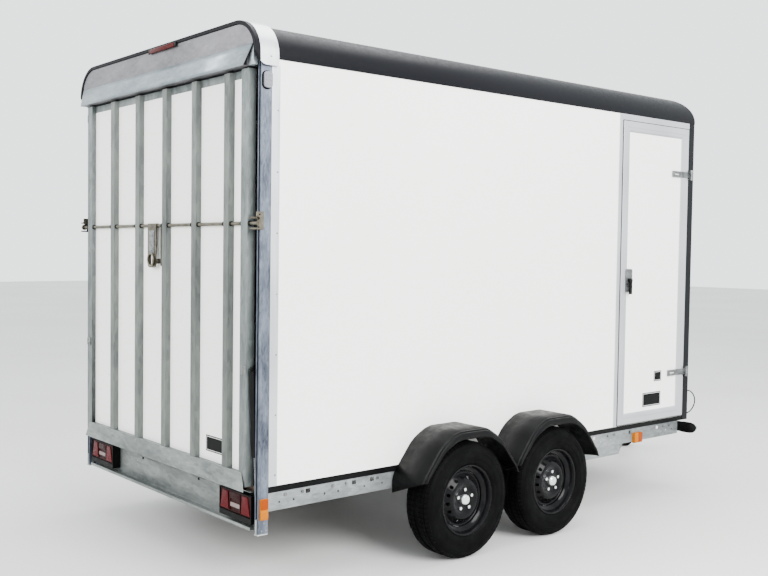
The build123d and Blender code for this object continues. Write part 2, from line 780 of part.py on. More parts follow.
def hinge_lugs():
    """Fixed hinge pieces: the ramp's lugs and pins on the beam, and the door's pin brackets."""
    pieces = []
    lug_foot = floor_bottom
    for x in hinge_stations():
        x0 = x - hinge_lug_width / 2
        x1 = x + hinge_lug_width / 2
        lug = bar_x(x0, x1, hinge_y, hinge_height, hinge_lug_radius)
        lug += block(x0, x1, hinge_y, rear + 6, lug_foot, hinge_height + 8)
        lug -= block(x0 - 1, x1 + 1, rear - 5, rear + 7, lug_foot - 20, lug_foot)
        pin = bar_x(x0, x1 + hinge_knuckle_width + 4, hinge_y, hinge_height, hinge_pin_radius)
        pieces.append(lug + pin)
    pin_x = half_width + door_pin_out
    pin_y = front - door_pin_back
    face = half_width + corner_profile_wall
    for z in door_hinge_heights:
        bracket = block(face, face + 5, pin_y - 4, pin_y + 46, z - 35, z + 35)
        for low in (z - 35, z + 22):
            bracket += bar_z(low, low + 13, pin_x, pin_y, 10)
            bracket += block(face, pin_x, pin_y - 5, pin_y + 9, low, low + 13)
        pieces.append(bracket + bar_z(z - 35, z + 35, pin_x, pin_y, door_pin_radius))
    return pieces


# ====================================================================== lock rod

def lock_rod():
    """Rod across the ramp with a cam at each end and a hand lever near the middle."""
    y = rear - rod_back
    rod = bar_x(-rod_reach, rod_reach, y, rod_height, rod_radius)
    cam_x0 = half_width + 7
    cam_x1 = half_width + 17
    cam = bar_x(cam_x0, cam_x1, y, rod_height, 17)
    cam += prism_x([(y - 4, rod_height), (y + 12, rod_height), (y + 17, rod_height + 46),
                    (y + 7, rod_height + 46)], cam_x0, cam_x1)
    half = handle_width / 2
    plate_y = y - rod_radius
    plate = block(handle_centre - half, handle_centre + half, plate_y - 5, plate_y,
                  rod_height - handle_length, rod_height + 12)
    plate -= block(handle_centre - 13, handle_centre + 13, plate_y - 6, plate_y + 1,
                   rod_height - handle_length + 20, rod_height - handle_length + 90)
    plate = fillet(plate.edges().filter_by(Axis.Y).group_by(Axis.Z)[0], 24)
    boss = bar_x(handle_centre - half, handle_centre + half, y, rod_height, rod_radius + 3)
    boss += block(handle_centre - half, handle_centre + half, plate_y - 1, y,
                  rod_height - 8, rod_height + 8)
    return rod + cam + mirrored(cam) + boss + plate


def latch_keepers():
    """Zinc keepers on the posts: a fork round the rod, and the pin that the cam pulls on."""
    y = rear - rod_back
    z = rod_height + keeper_pin_rise
    plate = block(half_width, half_width + 5, y - 10, rear + 16, z - 12, z + 24)
    plate += block(half_width, half_width + 5, rear - 6, rear + 16, rod_height - 31, z)
    for low in (rod_height + fork_gap / 2, rod_height - fork_gap / 2 - fork_plate):
        plate += block(post_inner, half_width + 5, rear - fork_reach, rear, low, low + fork_plate)
    pin = bar_x(half_width, half_width + 22, y - 2, z, 5)
    return both(plate + pin)


# ======================================================================== struts

def strut_angle():
    """Lean of the closed strut from the vertical, in degrees about X."""
    return degrees(atan2(strut_top_back + strut_bottom_forward, strut_top - strut_bottom))


def strut_length():
    """Distance between the strut's two pivots with the ramp closed."""
    return sqrt((strut_top_back + strut_bottom_forward) ** 2 + (strut_top - strut_bottom) ** 2)


def strut_place(side):
    """Frame at the lower pivot with +Z along the strut."""
    return Pos(side * strut_side, rear + strut_bottom_forward, strut_bottom) * Rot(strut_angle(), 0, 0)


def strut_rod(side):
    """Polished rod with its piston and lower eye."""
    start = strut_length() - strut_tube_length
    eye = Rot(0, 90, 0) * Cylinder(11, 14)
    shaft = Pos(0, 0, (start + 48) / 2) * Cylinder(strut_rod_radius, start + 48)
    piston = Pos(0, 0, start + 42) * Cylinder(strut_bore_radius - strut_fit, 14)
    rod = eye + shaft + piston
    rod -= Rot(0, 90, 0) * Cylinder(hinge_pin_radius + hinge_pin_clearance, 40)
    return strut_place(side) * rod


def strut_cylinder(side):
    """Black pressure tube, closed at the top, with the rod guide at its mouth."""
    start = strut_length() - strut_tube_length
    end = strut_length() - 10
    tube = Pos(0, 0, (start + end) / 2) * Cylinder(strut_tube_radius, end - start)
    tube -= Pos(0, 0, (start + end) / 2) * Cylinder(strut_bore_radius, end - start - 16)
    tube -= Pos(0, 0, start + 4) * Cylinder(strut_rod_radius + strut_fit, 12)
    eye = Pos(0, 0, strut_length()) * Rot(0, 90, 0) * Cylinder(11, 14)
    neck = Pos(0, 0, strut_length() - 10) * Box(12, 12, 10)
    return strut_place(side) * (tube + eye + neck)


def strut_anchor():
    """Pivot pin of the right-hand strut, standing inwards from its post."""
    y = rear + strut_bottom_forward
    pin = bar_x(strut_side - 9, post_inner, y, strut_bottom, hinge_pin_radius)
    return pin + bar_x(post_inner - 8, post_inner, y, strut_bottom, 12)


# ========================================================================== door

def door_panel():
    """Insulated leaf: a core inside the doorway with a raised outer skin."""
    y0 = rear + door_rear + door_overlap + door_gap
    y1 = rear + door_front - door_overlap - door_gap
    z0 = door_bottom + door_overlap + door_gap
    z1 = door_top - door_overlap - door_gap
    face = half_width + 0.5
    core = block(half_width - panel_thickness, face, y0, y1, z0, z1)
    skin = block(face, face + 4, rear + door_rear + door_frame_side,
                 rear + door_front - door_frame_hinge_side,
                 door_bottom + door_frame_side, door_top - door_frame_side)
    return core + skin


def door_frame():
    """Four mitred aluminium profiles round the leaf."""
    x0 = half_width + 0.5
    x1 = x0 + door_frame_depth
    a0 = rear + door_rear
    a1 = rear + door_front
    b0 = door_bottom
    b1 = door_top
    c0 = a0 + door_frame_side
    c1 = a1 - door_frame_hinge_side
    d0 = b0 + door_frame_side
    d1 = b1 - door_frame_side
    gap = 0.3
    sides = [[(a0, b0 + gap), (c0 - gap, d0), (c0 - gap, d1), (a0, b1 - gap)],
             [(a1, b0 + gap), (a1, b1 - gap), (c1 + gap, d1), (c1 + gap, d0)],
             [(a0 + gap, b0), (a1 - gap, b0), (c1, d0 - gap), (c0, d0 - gap)],
             [(a0 + gap, b1), (c0, d1 + gap), (c1, d1 + gap), (a1 - gap, b1)]]
    return [prism_x(side, x0, x1) for side in sides]


def door_straps():
    """Leaf halves of the hinges: a long strap with its knuckle."""
    pin_x = half_width + door_pin_out
    pin_y = front - door_pin_back
    x0 = half_width + 0.5 + door_frame_depth
    pieces = []
    for z in door_hinge_heights:
        strap = block(x0, x0 + 5, rear + door_front - 200, pin_y - 12, z - 21, z + 21)
        strap += block(x0, pin_x - 2, pin_y - 16, pin_y - 6, z - 21, z + 21)
        strap += bar_z(z - 21, z + 21, pin_x, pin_y, 10)
        strap -= bar_z(z - 22, z + 22, pin_x, pin_y, door_pin_radius + hinge_pin_clearance)
        strap -= block(x0 - 1, x0 + 6, rear + door_front - 176, rear + door_front - 110, z - 5, z + 5)
        pieces.append(strap)
    plate_y = rear + door_lever_place
    plate = block(x0, x0 + 7, plate_y - 36, plate_y + 36, door_lever_height - 78,
                  door_lever_height + 78)
    plate = fillet(plate.edges().filter_by(Axis.X), 14)
    plate -= bar_x(x0 - 1, x0 + 8, plate_y, door_lever_height, 7.06)
    return pieces + [plate]


def door_lever():
    """Hand lever of the door lock, on its square spindle."""
    x0 = half_width + 0.5 + door_frame_depth
    plate_y = rear + door_lever_place
    lever = bar_x(x0 + 1, x0 + 26, plate_y, door_lever_height, 7)
    lever += bar_x(x0 + 8, x0 + 26, plate_y, door_lever_height, 15)
    lever += block(x0 + 14, x0 + 26, plate_y - 11, plate_y + 11, door_lever_height - 92,
                   door_lever_height)
    return lever


# ======================================================================= drawbar

def drawbar_arm():
    """Right-hand drawbar beam: along the rail, then in to the nose."""
    outer = rail_outer - 10
    inner = outer - arm_width
    y0 = rear + arm_start
    bend = rear + arm_bend
    points = [(inner, y0), (outer, y0), (outer, bend), (40 + arm_width, drawbar_nose),
              (40, drawbar_nose), (inner, bend - 12)]
    return prism_z(points, rail_bottom - arm_height, rail_bottom)


def overrun_housing():
    """Cast slide housing on the two beams, with the nose-wheel clamp and its outer tube."""
    y0 = front + 470
    y1 = front + 800
    z = draw_tube_height
    body = block(-88, 88, y0, y1 - 60, rail_bottom, rail_bottom + 14)
    body += bar_y(y0, y1, 0, z, draw_tube_radius + 13)
    body += block(-26, 26, y0 + 20, y1 - 70, rail_bottom, z)
    body += block(-34, 34, y0 + 40, y1 - 90, z, z + 44)
    body += bar_x(30, 66, front + 560, z + 22, 8)
    body -= bar_y(y0 - 1, y1 + 1, 0, z, draw_tube_radius + draw_tube_clearance)
    return body


def nose_clamp():
    """Clamp and outer tube of the nose wheel, on the side of the left-hand beam."""
    y = front + nose_forward
    arm = prism_z([(-40, drawbar_nose - 60), (-40, drawbar_nose), (nose_side + 10, y - 20),
                   (nose_side + 10, y + 20), (nose_side - 20, y + 20), (-100, drawbar_nose - 60)],
                  rail_bottom, rail_bottom + 12)
    tube = bar_z(335, 620, nose_side, y, nose_tube_radius)
    clamp = bar_z(390, 450, nose_side, y, nose_tube_radius + 9)
    clamp += block(nose_side + 10, nose_side + 60, y - 14, y + 14, 392, 448)
    bore = bar_z(334, 612, nose_side, y, nose_tube_radius - 3)
    return (arm + clamp + tube) - bore - bar_z(600, 621, nose_side, y,
                                                       nose_screw_radius + 0.06)


def draw_tube():
    """Sliding tube that carries the coupling head."""
    return bar_y(front + 440, front + 1200, 0, draw_tube_height, draw_tube_radius)


def coupling_head():
    """Ball coupling: a pressed head with a downward socket for a 50 mm ball."""
    z = draw_tube_height
    y_ball = tip - 42
    head = bar_y(front + 1100, tip - 60, 0, z, draw_tube_radius + 9)
    head += block(-33, 33, front + 1190, tip - 42, z - 20, z + 34)
    head += Pos(0, y_ball, z) * Sphere(42)
    head -= bar_y(front + 1099, front + 1200, 0, z, draw_tube_radius)
    head -= Pos(0, y_ball, z) * Sphere(ball_radius + ball_clearance)
    head -= bar_z(z - 60, z, 0, y_ball, ball_radius + ball_clearance)
    return head - block(-60, 60, tip - 90, tip + 10, z - 60, z - 14)


def coupling_handle():
    """Pull-up handle that frees the ball."""
    z = draw_tube_height + 52
    y0 = front + 1215
    handle = bar_x(-14, 14, y0, z, 12)
    handle += block(-14, 14, y0 - 190, y0, z - 2, z + 10)
    handle += bar_x(-45, 45, y0 - 190, z + 6, 11)
    return handle - bar_x(-20, 20, y0, z, 5.06)


def coupling_pin():
    """Cross pin and ears that carry the coupling handle."""
    z = draw_tube_height + 52
    y0 = front + 1215
    ears = block(-24, -15, y0 - 12, y0 + 12, draw_tube_height + 34, z + 10)
    ears += block(15, 24, y0 - 12, y0 + 12, draw_tube_height + 34, z + 10)
    return ears + bar_x(-24, 24, y0, z, 5)


def bellows():
    """Pleated rubber sleeve between the housing and the head."""
    z = draw_tube_height
    y0 = front + 800
    folds = 9
    pitch = 22.0
    sleeve = None
    for index in range(folds):
        start = y0 + index * pitch
        fold = Pos(0, start + pitch / 4, z) * Rot(-90, 0, 0) * Cone(32, 44, pitch / 2)
        back = Pos(0, start + 3 * pitch / 4, z) * Rot(-90, 0, 0) * Cone(44, 32, pitch / 2)
        sleeve = fold + back if sleeve is None else sleeve + fold + back
    return sleeve - bar_y(y0 - 1, y0 + folds * pitch + 1, 0, z, draw_tube_radius + 0.4)


def handbrake_lever():
    """Parking brake lever beside the housing, lying forward when off."""
    y = front + 560
    z = draw_tube_height + 22
    lever = bar_x(39, 62, y, z, 20)
    lever += block(50, 62, y, y + 330, z - 12, z + 12)
    lever += bar_y(y + 330, y + 450, 62, z, 15)
    return lever - bar_x(38, 63, y, z, 8.06)


# ==================================================================== nose wheel

def nose_inner_tube():
    """Inner tube with its fork."""
    y = front + nose_forward
    z = nose_wheel_radius
    tube = bar_z(z + 122, 500, nose_side, y, nose_tube_radius - 3.05)
    tube -= bar_z(z + 160, 484, nose_side, y, nose_tube_radius - 7)
    tube -= bar_z(z + 160, 501, nose_side, y, nose_screw_radius + 0.06)
    half = nose_wheel_width / 2 + 4
    fork = block(nose_side - half - 5, nose_side + half + 5, y - 24, y + 24, z + 112, z + 122)
    for side in (-1, 1):
        x = nose_side + side * (half + 2.5)
        fork += block(x - 2.5, x + 2.5, y - 18, y + 18, z - 16, z + 114)
    return tube + fork + bar_x(nose_side - half - 5, nose_side + half + 5, y, z, 8)


def nose_wheel():
    """Solid rubber nose wheel on its bush."""
    y = front + nose_forward
    half = nose_wheel_width / 2
    wheel = bar_x(nose_side - half, nose_side + half, y, nose_wheel_radius, nose_wheel_radius)
    wheel = fillet(wheel.edges(), 12)
    for side in (-1, 1):
        face = nose_side + side * half
        wheel -= bar_x(face - 14, face + 14, y, nose_wheel_radius, 66)
        wheel += bar_x(nose_side, face, y, nose_wheel_radius, 20)
    return wheel - bar_x(nose_side - half - 1, nose_side + half + 1, y, nose_wheel_radius, 8.06)


def nose_crank():
    """Winding crank on top of the nose wheel's tube."""
    y = front + nose_forward
    crank = bar_z(390, 655, nose_side, y, nose_screw_radius)
    crank += bar_z(620.5, 640, nose_side, y, 14)
    crank += block(nose_side - 110, nose_side + 10, y - 9, y + 9, 645, 655)
    return crank + bar_z(655, 745, nose_side - 102, y, 12)


# ======================================================================== cable

cable_radius = 4.0
cable_side = 918.0
cable_route = [(cable_side, front + 26, 690), (cable_side, front + 62, 690),
               (cable_side + 4, front + 112, 688), (cable_side + 8, front + 158, 660),
               (cable_side + 10, front + 184, 612), (cable_side + 8, front + 166, 562),
               (cable_side + 4, front + 122, 528), (cable_side, front + 70, 517),
               (cable_side, front + 26, 517)]


def trailer_cable():
    """Lighting cable: leaves the front wall, hangs forward in a loop and returns low down."""
    points = [Vector(*point) for point in cable_route]
    runs = [(points[i + 1] - points[i]).length for i in range(len(points) - 1)]
    radii = []
    for index in range(1, len(points) - 1):
        turn = (points[index] - points[index - 1]).get_angle(points[index + 1] - points[index])
        shorter = min(runs[index - 1], runs[index])
        radii.append(0.45 * shorter / (sin(radians(turn) / 2) / cos(radians(turn) / 2)))
    print("cable radii", [round(radius) for radius in radii])
    path = FilletPolyline(*points, radius=radii)
    start = Plane(origin=points[0], z_dir=points[1] - points[0])
    tube = sweep(start * Circle(cable_radius), path=path)
    print("cable length", round(path.length), "volume ratio",
          round(tube.volume / (pi * cable_radius ** 2 * path.length), 4))
    return tube


def cable_glands():
    """Nylon glands that the cable leaves and enters at the front wall's foot."""
    glands = []
    for place in (cable_route[0], cable_route[-1]):
        x, y, z = place
        glands.append(bar_y(front + corner_profile_wall, y, x, z, 11))
    return glands


def chassis_bolts():
    """Hexagon bolt heads along the rails and on the post feet."""
    bolts = []
    y0 = rear + post_depth
    length = front - rail_front_gap - y0
    for place in (0.03, 0.06, 0.115, 0.14, 0.2, 0.77, 0.79, 0.95, 0.97):
        spot = Plane(origin=(rail_outer, y0 + place * length, rail_bottom + rail_height - 22),
                     x_dir=(0, 1, 0), z_dir=(1, 0, 0))
        head = extrude(spot * RegularPolygon(9, 6), amount=6, dir=(1, 0, 0))
        bolts += both(head)
    return bolts


write("chassis_frame", chassis_frame())
write("rear_beam", rear_beam())
write("corner_posts", both(corner_post()))
write("post_feet", both(post_foot()))
write("floor_panel", floor_panel())
write("floor_edge_trim", floor_edge_trim())
write("wall_left", wall_left())
write("wall_right", wall_right())
write("wall_front", wall_front())
write("roof_panel", roof_panel())
write("edge_profiles", roof_edge_profiles(), both(corner_profile()))
write("rear_arch", rear_arch())
write("rear_rim", rear_rim())
write("header_hood", header_hood())
write("wall_trims", wall_trims())
write("tail_lamp_housings", [tail_lamp_housing(x) for x in tail_lamp_places()])
write("red_lenses", [tail_lamp_lens(x) for x in tail_lamp_places()], top_lamp())
write("amber_markers", amber_markers())
write("clear_lamps", clear_lamps())
write("outline_lamps", outline_lamps(), cable_glands())
for label, hub_y in zip(("rear", "front"), hub_places):
    write(f"axle_beam_{label}", axle_beam(hub_y))
    for side, pick in (("right", lambda shape: shape), ("left", mirrored)):
        write(f"swing_arm_{label}_{side}", pick(swing_arm(hub_y)))
        write(f"tyre_{label}_{side}", pick(tyre(hub_y)))
        write(f"rim_{label}_{side}", [pick(piece) for piece in rim(hub_y)])
write("mudguards", [guard for hub_y in hub_places for guard in both(mudguard(hub_y))])
write("ramp_frame", ramp_frame())
write("ramp_panel", ramp_panel())
write("ramp_bars", ramp_bars())
write("ramp_apron", ramp_apron())
write("hinge_lugs", hinge_lugs(), both(strut_anchor()))
write("lock_rod", lock_rod())
write("latch_keepers", latch_keepers())
write("strut_rods", [strut_rod(side) for side in (1, -1)])
write("strut_cylinders", [strut_cylinder(side) for side in (1, -1)])
write("door_panel", door_panel())
write("door_frame", door_frame())
write("door_straps", door_straps())
write("door_lever", door_lever())
write("drawbar_beams", both(drawbar_arm()))
write("overrun_housing", overrun_housing(), nose_clamp())
write("draw_tube", draw_tube())
write("coupling_head", coupling_head() + coupling_pin())
write("coupling_handle", coupling_handle())
write("bellows", bellows())
write("handbrake_lever", handbrake_lever())
write("nose_inner_tube", nose_inner_tube())
write("nose_wheel", nose_wheel())
write("nose_crank", nose_crank())
write("trailer_cable", trailer_cable())
write("chassis_bolts", chassis_bolts())
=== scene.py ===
from math import cos, pi, radians, sin

import bmesh
import bpy
from mathutils import Matrix, Vector


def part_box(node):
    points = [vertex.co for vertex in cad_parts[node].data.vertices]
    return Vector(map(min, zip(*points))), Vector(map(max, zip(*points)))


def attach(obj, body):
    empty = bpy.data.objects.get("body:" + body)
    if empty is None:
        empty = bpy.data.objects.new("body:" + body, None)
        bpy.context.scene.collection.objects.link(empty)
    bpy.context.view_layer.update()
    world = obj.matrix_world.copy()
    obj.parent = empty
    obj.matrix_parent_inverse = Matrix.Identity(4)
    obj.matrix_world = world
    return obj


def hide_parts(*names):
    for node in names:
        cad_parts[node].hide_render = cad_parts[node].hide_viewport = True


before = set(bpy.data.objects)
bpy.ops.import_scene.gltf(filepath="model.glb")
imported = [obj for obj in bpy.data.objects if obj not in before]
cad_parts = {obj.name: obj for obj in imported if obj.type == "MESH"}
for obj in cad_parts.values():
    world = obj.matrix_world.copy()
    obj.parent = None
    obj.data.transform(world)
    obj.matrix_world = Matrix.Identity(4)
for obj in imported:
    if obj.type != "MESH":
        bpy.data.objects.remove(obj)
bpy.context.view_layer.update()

# ---- Camera
# Stands behind the right-hand rear corner at head height, turned a little down,
# with a long lens so that the uprights stay nearly parallel.
eye = Vector((4.8606, -5.2416, 1.7068))
yaw, pitch, roll = 0.9113, 0.0406, -0.0107
ahead = Vector((-sin(yaw) * cos(pitch), cos(yaw) * cos(pitch), -sin(pitch)))
level = Vector((cos(yaw), sin(yaw), 0))
down = ahead.cross(level)
camera_data = bpy.data.cameras.new("camera")
camera_data.sensor_width = 36
camera_data.lens = 45.6
camera_data.shift_x = 0.0964
camera = bpy.data.objects.new("camera", camera_data)
right_axis = cos(roll) * level + sin(roll) * down
down_axis = -sin(roll) * level + cos(roll) * down
facing = Matrix((right_axis, -down_axis, -ahead)).transposed().to_4x4()
camera.matrix_world = Matrix.Translation(eye) @ facing
bpy.context.scene.collection.objects.link(camera)
bpy.context.scene.camera = camera


# ---- Studio
# A pale seamless floor, a soft white sky all round, one large soft light from the
# door side and two weaker ones behind and above.
class Level:
    """A value that varies over a surface; arithmetic on it adds Math nodes."""

    def __init__(self, finish, socket):
        self.finish = finish
        self.socket = socket

    def math(self, operation, first, second):
        return self.finish.node("ShaderNodeMath", {"operation": operation}, {0: first, 1: second})

    def __add__(self, other):
        return self.math("ADD", self, other)

    def __mul__(self, other):
        return self.math("MULTIPLY", self, other)

    __radd__ = __add__
    __rmul__ = __mul__


class Finish:
    """A surface finish on the Principled shader, with constants on its own sockets."""

    def __init__(self, name, **constants):
        self.material = bpy.data.materials.new(name)
        self.material.use_nodes = True
        self.tree = self.material.node_tree
        self.shader = self.tree.nodes["Principled BSDF"]
        for socket, value in constants.items():
            self.shader.inputs[socket.replace("_", " ")].default_value = value
        self.seat = self.node("ShaderNodeTexCoord", {}, {}, "Object")

    def node(self, kind, settings, sockets, output=0):
        made = self.tree.nodes.new(kind)
        for key, value in settings.items():
            if key == "stops":
                ramp = made.color_ramp.elements
                while len(ramp) < len(value):
                    ramp.new(0.5)
                for stop, (place, shade) in zip(ramp, value):
                    stop.position = place
                    stop.color = (*shade, 1)
            else:
                setattr(made, key, value)
        for key, value in sockets.items():
            if isinstance(value, Level):
                self.tree.links.new(value.socket, made.inputs[key])
            else:
                made.inputs[key].default_value = value
        return Level(self, made.outputs[output])

    def drive(self, socket, level):
        self.tree.links.new(level.socket, self.shader.inputs[socket])

    def stretched(self, x, y, z):
        return self.node("ShaderNodeMapping", {}, {"Vector": self.seat, "Scale": (x, y, z)})

    def noise(self, scale, detail=3.0, seat=None, rough=0.5):
        return self.node("ShaderNodeTexNoise", {},
                         {"Vector": seat or self.seat, "Scale": scale, "Detail": detail,
                          "Roughness": rough})

    def ramp(self, level, *stops):
        return self.node("ShaderNodeValToRGB", {"stops": stops}, {0: level})

    def limits(self, level, low, high, from_low=0.3, from_high=0.7):
        return self.node("ShaderNodeMapRange", {}, {0: level, 1: from_low, 2: from_high,
                                                    3: low, 4: high})

    def relief(self, height, distance, strength=1.0):
        self.drive("Normal", self.node("ShaderNodeBump", {}, {
            "Strength": strength, "Distance": distance, "Height": height}))


def shown(name, mesh, finish):
    piece = bpy.data.objects.new(name, mesh)
    bpy.context.scene.collection.objects.link(piece)
    mesh.materials.append(finish.material)
    return piece


def closed(form, name, finish, sharp=35):
    """Turns a bmesh into an object with outward faces and shading split at sharp edges."""
    bmesh.ops.recalc_face_normals(form, faces=form.faces)
    for face in form.faces:
        face.smooth = True
    for edge in form.edges:
        edge.smooth = edge.calc_face_angle(0.0) < radians(sharp)
    mesh = bpy.data.meshes.new(name)
    form.to_mesh(mesh)
    form.free()
    return shown(name, mesh, finish)


studio_floor = Finish("studio_floor", Roughness=0.6)
studio_floor.drive("Base Color", studio_floor.ramp(
    studio_floor.noise(0.35, 2), (0.3, (0.52, 0.52, 0.50)), (0.7, (0.57, 0.57, 0.56))))
floor_form = bmesh.new()
bmesh.ops.create_grid(floor_form, x_segments=2, y_segments=2, size=40)
bmesh.ops.translate(floor_form, vec=(0, 0, -0.001), verts=floor_form.verts)
floor = closed(floor_form, "studio_floor", studio_floor)

world = bpy.data.worlds.new("studio")
bpy.context.scene.world = world
world.use_nodes = True
world.node_tree.nodes["Background"].inputs["Color"].default_value = (0.90, 0.94, 0.95, 1)
world.node_tree.nodes["Background"].inputs["Strength"].default_value = 2.6
for name, place, aim, size, power in (
        ("door_side", (7.5, -1.5, 5.0), (0, -0.4, 1.2), 5.0, 1500),
        ("behind", (-2.5, -8.5, 4.5), (0, -2.0, 1.4), 4.0, 480),
        ("above", (0.0, 0.5, 7.5), (0, 0.0, 0.0), 6.0, 560)):
    light_data = bpy.data.lights.new(name, "AREA")
    light_data.shape = "DISK"
    light_data.size = size
    light_data.energy = power
    light = bpy.data.objects.new(name, light_data)
    light.location = place
    light.rotation_euler = (Vector(aim) - Vector(place)).to_track_quat("-Z", "Y").to_euler()
    bpy.context.scene.collection.objects.link(light)


# ---- White sandwich panels
# Walls, roof, ramp skin and door leaf: foam-cored panels with a smooth glass-fibre
# face, warm white, with the faint waviness and handling dust such faces have.
def painted(node, finish):
    """Gives a finish to every material slot of a CAD node that is shown as it is."""
    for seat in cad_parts[node].material_slots:
        seat.material = finish.material


white_face = Finish("white_glass_fibre", Roughness=0.3, Coat_Weight=0.25, Coat_Roughness=0.12)
cloud = white_face.noise(0.9, 3)
white_face.drive("Base Color", white_face.ramp(
    cloud, (0.3, (0.86, 0.86, 0.82)), (0.7, (0.90, 0.90, 0.865))))
white_face.drive("Roughness", white_face.limits(white_face.noise(14, 5), 0.26, 0.40))
white_face.relief(white_face.noise(9, 2) + white_face.noise(260, 2) * 0.12, 0.0009, 0.35)
for name in ("wall_left", "wall_right", "wall_front", "roof_panel", "ramp_panel", "door_panel"):
    painted(name, white_face)

# ---- Floor
# Birch plywood with a brown phenolic mesh face, laid on the cross members, over a
# black edge trim that closes its cut edge along the rails.
ply = Finish("phenolic_plywood", Roughness=0.55)
mesh_x, mesh_y = [
    ply.node("ShaderNodeTexWave", {"bands_direction": way}, {"Vector": ply.seat, "Scale": 38.0})
    for way in "XY"]
ply.drive("Base Color", ply.ramp(ply.noise(3, 6), (0.3, (0.060, 0.034, 0.022)),
                                 (0.7, (0.105, 0.062, 0.040))))
ply.relief(mesh_x * mesh_y + ply.noise(120, 2) * 0.3, 0.0012)
painted("floor_panel", ply)

trim_black = Finish("black_trim", Roughness=0.45, Specular_IOR_Level=0.06)
trim_black.drive("Base Color", trim_black.ramp(
    trim_black.noise(6, 4), (0.3, (0.0012, 0.0012, 0.0014)), (0.75, (0.004, 0.004, 0.0042))))
trim_black.relief(trim_black.noise(300, 2), 0.0004)
painted("floor_edge_trim", trim_black)


# ---- Galvanised chassis
# Rails, cross members, axle tubes and drawbar are hot-dip galvanised steel: a dull
# blue-grey skin with patches of spangle. Black rubber grommets fill the two wiring
# holes of the rear beam; their black is also painted shade for the dark inside of the holes.
def galvanised(name, dark, light, along=(1, 1, 1), gloss=(0.34, 0.56), metal=0.55):
    zinc = Finish(name, Metallic=metal)
    seat = zinc.stretched(*along)
    spangle = zinc.node("ShaderNodeTexVoronoi", {}, {"Vector": seat, "Scale": 70.0}, "Color")
    grains = zinc.node("ShaderNodeSeparateColor", {}, {0: spangle})
    cloud = zinc.noise(7, 6, seat, 0.65)
    broad = zinc.noise(1.7, 3, seat)
    tone = cloud * 0.62 + broad * 0.30 + grains * 0.10
    zinc.drive("Base Color", zinc.ramp(tone, (0.36, dark), (0.66, light)))
    zinc.drive("Roughness", zinc.limits(zinc.noise(16, 4, seat), *gloss))
    zinc.relief(cloud + grains * 0.12 + zinc.noise(90, 3) * 0.25, 0.0012, 0.5)
    return zinc


def softened(node, finish, body, width=0.0012, segments=2, sharp=35):
    """A merged copy of a CAD node with its bends and edges rounded."""
    form = bmesh.new()
    form.from_mesh(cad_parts[node].data)
    bmesh.ops.remove_doubles(form, verts=form.verts, dist=0.00002)
    piece = closed(form, node + "_finished", finish, sharp)
    if width:
        rounding = piece.modifiers.new("rounding", "BEVEL")
        rounding.width = width
        rounding.segments = segments
        rounding.limit_method = "ANGLE"
        rounding.angle_limit = radians(38)
        rounding.harden_normals = True
        rounding.use_clamp_overlap = True
    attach(piece, body)
    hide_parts(node)
    return piece


rail_zinc = galvanised("rail_zinc", (0.075, 0.085, 0.088), (0.27, 0.285, 0.29), (1, 0.35, 1))
beam_zinc = galvanised("beam_zinc", (0.085, 0.097, 0.095), (0.24, 0.258, 0.25), (0.35, 1, 1))
post_zinc = galvanised("post_zinc", (0.020, 0.026, 0.042), (0.15, 0.172, 0.215), (2.2, 2.2, 0.6))
for node in ("axle_beam_rear", "axle_beam_front", "drawbar_beams"):
    softened(node, rail_zinc, "chassis", 0.0012)
softened("chassis_frame", rail_zinc, "chassis", 0)
softened("rear_beam", beam_zinc, "chassis", 0.0015)
web_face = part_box("rear_beam")[1].y
# Painted shade: black plugs in the two beam holes stand in for the shade inside them.
hole_shade_plugs = bmesh.new()
for x in (-0.320, 0.320):
    bmesh.ops.create_cone(hole_shade_plugs, cap_ends=True, segments=20, radius1=0.0078, radius2=0.0060,
                          depth=0.006, matrix=Matrix.Translation((x, web_face - 0.004, 0.440))
                          @ Matrix.Rotation(pi / 2, 4, "X"))
piece = closed(hole_shade_plugs, "beam_hole_shade_plugs", trim_black)
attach(piece, "chassis")
for axle in ("rear", "front"):
    for side in ("left", "right"):
        softened(f"swing_arm_{axle}_{side}", rail_zinc, f"arm_{axle}_{side}",
                 0.003)

# ---- Corner posts
# Deep galvanised channels at the rear corners, bent from sheet, with the bluest and
# most streaked zinc, and a bright foot block screwed on under each.
softened("corner_posts", post_zinc, "chassis", 0.0013)
foot_zinc = galvanised("foot_zinc", (0.24, 0.25, 0.25), (0.45, 0.46, 0.45))
softened("post_feet", foot_zinc, "chassis", 0.003)

# ---- Ramp frame, bars and apron
# Galvanised box tubes round a white skin, five hat-section bars up its outside, and a
# sloping folded plate at the foot that covers the hinges. A bolted plate on each side
# tube carries the strut's upper pin.
rear = -2.534  # y of the tail face of the body
frame_zinc = galvanised("ramp_frame_zinc", (0.058, 0.070, 0.070), (0.20, 0.222, 0.218),
                        (1, 1, 0.3))
bar_zinc = galvanised("bar_zinc", (0.055, 0.063, 0.060), (0.165, 0.182, 0.168), (1, 1, 0.25))
softened("ramp_frame", frame_zinc, "ramp", 0.0025)
softened("ramp_bars", bar_zinc, "ramp", 0.0011)
softened("ramp_apron", beam_zinc, "ramp", 0.0013)
brackets = bmesh.new()
for side in (-1, 1):
    plate = bmesh.ops.create_cube(brackets, size=1.0, matrix=Matrix.Translation(
        (side * 0.880, rear - 0.0345, 1.103)) @ Matrix.Diagonal((0.044, 0.004, 0.046, 1)))
    bmesh.ops.bevel(brackets, geom=list({edge for vert in plate["verts"] for edge in
                                         vert.link_edges}),
                    offset=0.0015, segments=2, affect="EDGES", profile=0.5, material=-1)
    for z in (1.091, 1.115):
        bmesh.ops.create_cone(brackets, cap_ends=True, segments=6, radius1=0.007,
                              radius2=0.0062, depth=0.005, matrix=Matrix.Translation(
                                  (side * 0.880, rear - 0.0385, z))
                              @ Matrix.Rotation(pi / 2, 4, "X"))
piece = closed(brackets, "strut_brackets", beam_zinc)
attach(piece, "ramp")
